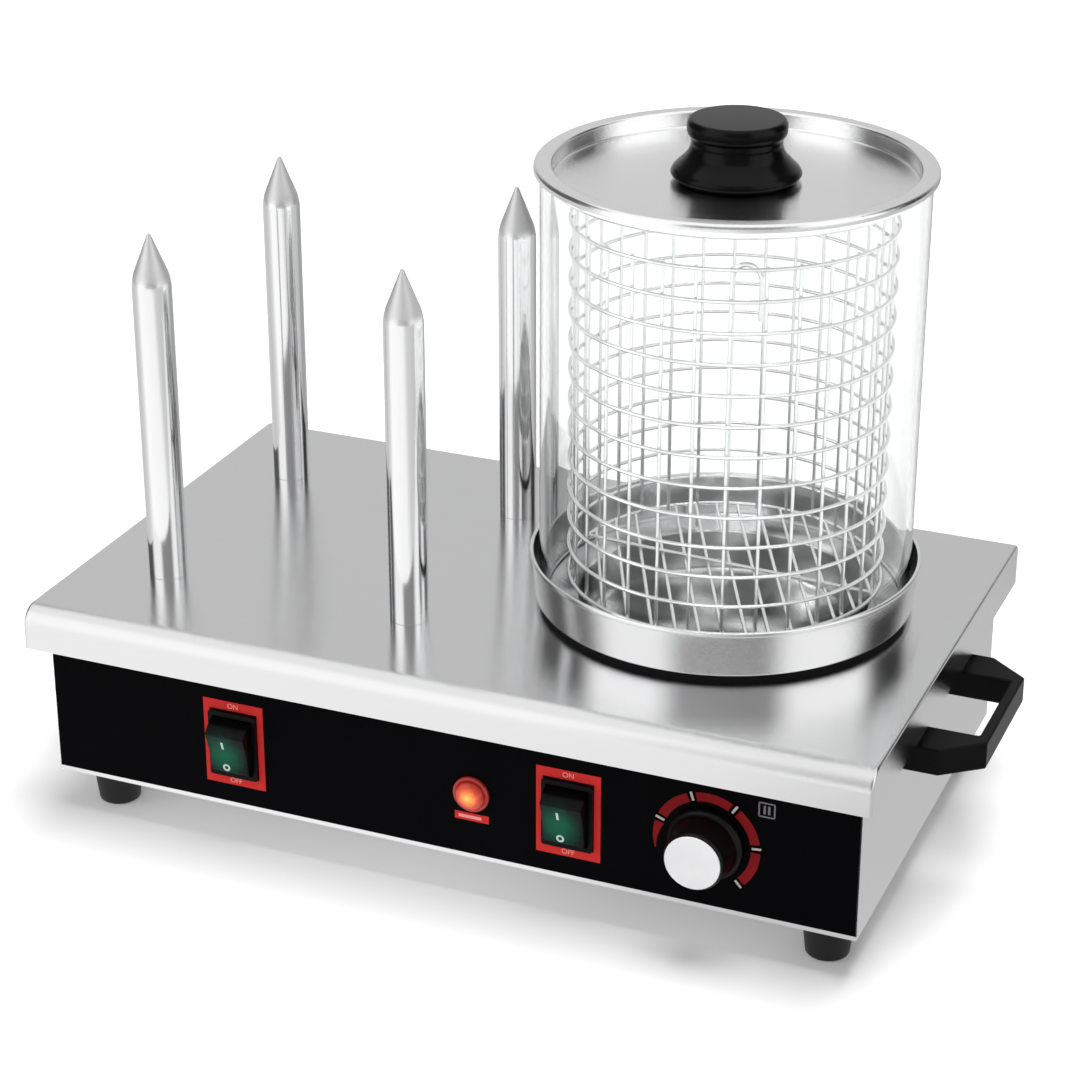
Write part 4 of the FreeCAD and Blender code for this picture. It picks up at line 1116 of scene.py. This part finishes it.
def make_rocker(side):
    work = bmesh.new()
    bmesh.ops.create_cone(work, cap_ends=True, segments=96, radius1=drum_radius, radius2=drum_radius,
                          depth=rocker_width, matrix=Matrix.Rotation(math.pi / 2, 4, "Y"))
    cut_flat(work, (0, 0, face_reach), (0, 0, 1))
    cut_flat(work, (0, 0, -drum_back), (0, 0, -1))
    cut_flat(work, (0, 0, 0), (0, 1, 0), drop=False)
    dip = [vert for vert in work.verts if abs(vert.co.y) < near and vert.co.z > face_reach - near]
    bmesh.ops.translate(work, verts=dip, vec=(0, 0, -face_dip))
    face_edges = edges_where(work, lambda at: at.z > face_reach - 2 * face_dip)
    crest = [edge for edge in face_edges if edge.calc_face_angle(0) > crest_turn]
    round_off(work, crest, crest_rounding, 3)
    bmesh.ops.transform(work, matrix=rocker_matrix(side), verts=work.verts)
    piece = hand_over(side + "_smoked_rocker", work, finishes[side + "_rocker_green"],
                      side + "_switch")
    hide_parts(side + "_rocker")


# %% Rocker marks
on_mark = (-2.2 * mm, 5.6 * mm)
off_mark = (-1.6 * mm, -9.2 * mm)
on_size = Vector((1.3 * mm, 5.0 * mm, 0.2 * mm))
off_inner, off_outer, off_thick = 1.1, 2.2, 0.1


def on_rocker(side, across, rise):
    """A matrix for a mark on a rocker's face, this far across and above the middle of the face."""
    reach = face_reach - face_dip + face_dip * abs(rise) / face_half
    slope = math.copysign(math.atan(face_dip / face_half), rise)
    move = Matrix.Translation((across, rise, reach))
    return rocker_matrix(side) @ move @ Matrix.Rotation(slope, 4, "X")


def make_marks(side):
    bar = bmesh.new()
    size = Matrix.Diagonal(on_size).to_4x4()
    bmesh.ops.create_cube(bar, size=1.0, matrix=on_rocker(side, *on_mark) @ size)
    hand_over(side + "_on_mark", bar, print_white, side + "_switch")
    ring = lathe(in_mm([(off_inner, 0, 0), (off_outer, 0, 0),
                        (off_outer, off_thick, 0), (off_inner, off_thick, 0)]), 32)
    bmesh.ops.transform(ring, matrix=on_rocker(side, *off_mark), verts=ring.verts)
    hand_over(side + "_off_mark", ring, print_white, side + "_switch")


for side in ("left", "right"):
    make_rocker(side)
    make_marks(side)

# %% [markdown]
# ## Finishes for the loaded nodes
# Nodes whose shape is right stay as they are and only change their finish. The record names a
# material slot for each, and every finish was kept under the name of its slot, so one loop dresses
# them all. Only the switch housings are duller than the lid's knob, whose slot they share.

# %% Dress the nodes
finishes["rocker_green"] = finishes["left_rocker_green"]
for part in frame["record"]["subparts"]:
    node = frame["nodes"][part["node"]]
    slot = "housing_black" if part["node"].endswith("_housing") else part["material_slot"]
    node.data.materials.clear()
    node.data.materials.append(finishes[slot])

# %% [markdown]
# ## The studio
# The photograph is a product shot on white, lit by softboxes. The polished metal shows what stands
# around it: bright panels to the front left and to the right, a grey one behind, and dark room
# between them. A ring of walls round the object carries that pattern by its angle, and the floor
# shows reflections a softer one. The camera sees neither, only plain white with the object's shadow.
# The lamps light the object and are hidden from reflections in turn.

# %% Tones by angle
def tone_by_angle(pen, tones):
    """A grey that depends on the angle about the upright axis, from (degrees, grey) pairs."""
    place = surface(pen)
    turn = pen.math("ARCTAN2", part_of(pen, place, "Y"), part_of(pen, place, "X"))
    stops = [((angle + 180) / 360, (tone, tone, tone, 1)) for angle, tone in tones]
    return ramp(pen, turn / (2 * math.pi) + 0.5, stops)


def ray(pen, kind):
    """1 for rays of this kind and 0 for all others."""
    return pen.node("ShaderNodeLightPath", output="Is " + kind + " Ray")


def make_stage(name, work, material):
    stage = place_mesh(name, work, material)
    print("staged", name)
    return stage


# %% Floor
floor_half = 12
floor_tones = [
    (-180, 0.60), (-158, 0.74), (-140, 1.10), (-75, 1.02), (-55, 0.70), (-30, 0.64), (0, 0.60),
    (50, 0.58), (66, 0.38), (112, 0.42), (140, 0.70), (180, 0.60)]


def make_floor_white():
    """Matt white that glows more further out. Reflections get the tones instead, but not glass."""
    material, pen = blank("studio_floor")
    through = ray(pen, "Transmission")
    seen = pen.math("MAXIMUM", ray(pen, "Camera"), through)
    far = fade(pen, length(pen, surface(pen)), 0.45, 2.2, 0.0, 0.8)
    shade = blend(pen, far, (0.08, 0.08, 0.08, 1), (1, 1, 1, 1))
    matt = pen.node("ShaderNodeBsdfDiffuse", {}, {"Color": (0.92, 0.92, 0.92, 1)})
    glow = pen.node("ShaderNodeEmission", {}, {"Color": shade, "Strength": seen})
    plain = pen.node("ShaderNodeAddShader", {}, {0: matt, 1: glow})
    mirrored = pen.node("ShaderNodeEmission", {}, {"Color": tone_by_angle(pen, floor_tones)})
    reflected = ray(pen, "Glossy") - through
    return close(material, pen.node("ShaderNodeMixShader", {}, {0: reflected, 1: plain, 2: mirrored}))


floor_work = bmesh.new()
bmesh.ops.create_grid(floor_work, x_segments=1, y_segments=1, size=floor_half)
make_stage("floor", floor_work, make_floor_white())

# %% Walls that only reflections see
wall_radius = 2.4
wall_heights = (0.12, 2.8)
wall_tones = [
    (-180, 0.10), (-162, 0.10), (-146, 1.2), (-108, 1.2), (-92, 0.34), (-42, 0.30), (-28, 1.2),
    (14, 1.2), (28, 0.03), (54, 0.04), (70, 0.60), (134, 0.64), (150, 0.12), (180, 0.10)]


def make_wall_tone():
    material, pen = blank("studio_walls")
    glow = pen.node("ShaderNodeEmission", {}, {"Color": tone_by_angle(pen, wall_tones)})
    return close(material, glow)


wall_work = bmesh.new()
wall_ends = [wall_work.verts.new((wall_radius, 0, height)) for height in wall_heights]
wall_line = wall_work.edges.new(wall_ends)
spin_round(wall_work, wall_ends + [wall_line], 72)
walls = make_stage("walls", wall_work, make_wall_tone())
walls.visible_camera = False
walls.visible_diffuse = False
walls.visible_shadow = False
walls.visible_transmission = False


# %% Lamps
def make_softbox(name, place, target, width, height, watts):
    data = bpy.data.lights.new(name, "AREA")
    data.shape = "RECTANGLE"
    data.size = width
    data.size_y = height
    data.energy = watts
    softbox = bpy.data.objects.new(name, data)
    softbox.location = place
    softbox.rotation_euler = (Vector(target) - Vector(place)).to_track_quat("-Z", "Y").to_euler()
    softbox.visible_glossy = False
    bpy.context.scene.collection.objects.link(softbox)
    print("lit", name, "with", watts, "watts")


make_softbox("softbox_top", (0.25, 0.08, 2.2), (0, 0, 0.1), width=1.6, height=1.2, watts=56)
make_softbox("softbox_left", (-1.8, -1.2, 1.2), (0, 0, 0.15), width=1.0, height=1.6, watts=12)
make_softbox("softbox_front", (0.4, -2.4, 1.3), (0, 0, 0.1), width=1.6, height=1.0, watts=10)

# %% World
sky_light = 0.28
world = bpy.data.worlds.new("studio")
world.use_nodes = True
world.node_tree.nodes.clear()
sky = Tone(world.node_tree)
mirrored_sky = sky.math("MAXIMUM", ray(sky, "Glossy"), ray(sky, "Transmission"))
seen_sky = sky.math("MAXIMUM", ray(sky, "Camera"), mirrored_sky)
background = sky.node("ShaderNodeBackground", {}, {
    "Color": (1, 1, 1, 1), "Strength": sky_light + (1 - sky_light) * seen_sky})
background.node("ShaderNodeOutputWorld", {}, {"Surface": background})
bpy.context.scene.world = world
bpy.context.scene.view_settings.view_transform = "Standard"
print("the sky lights the object at", sky_light)
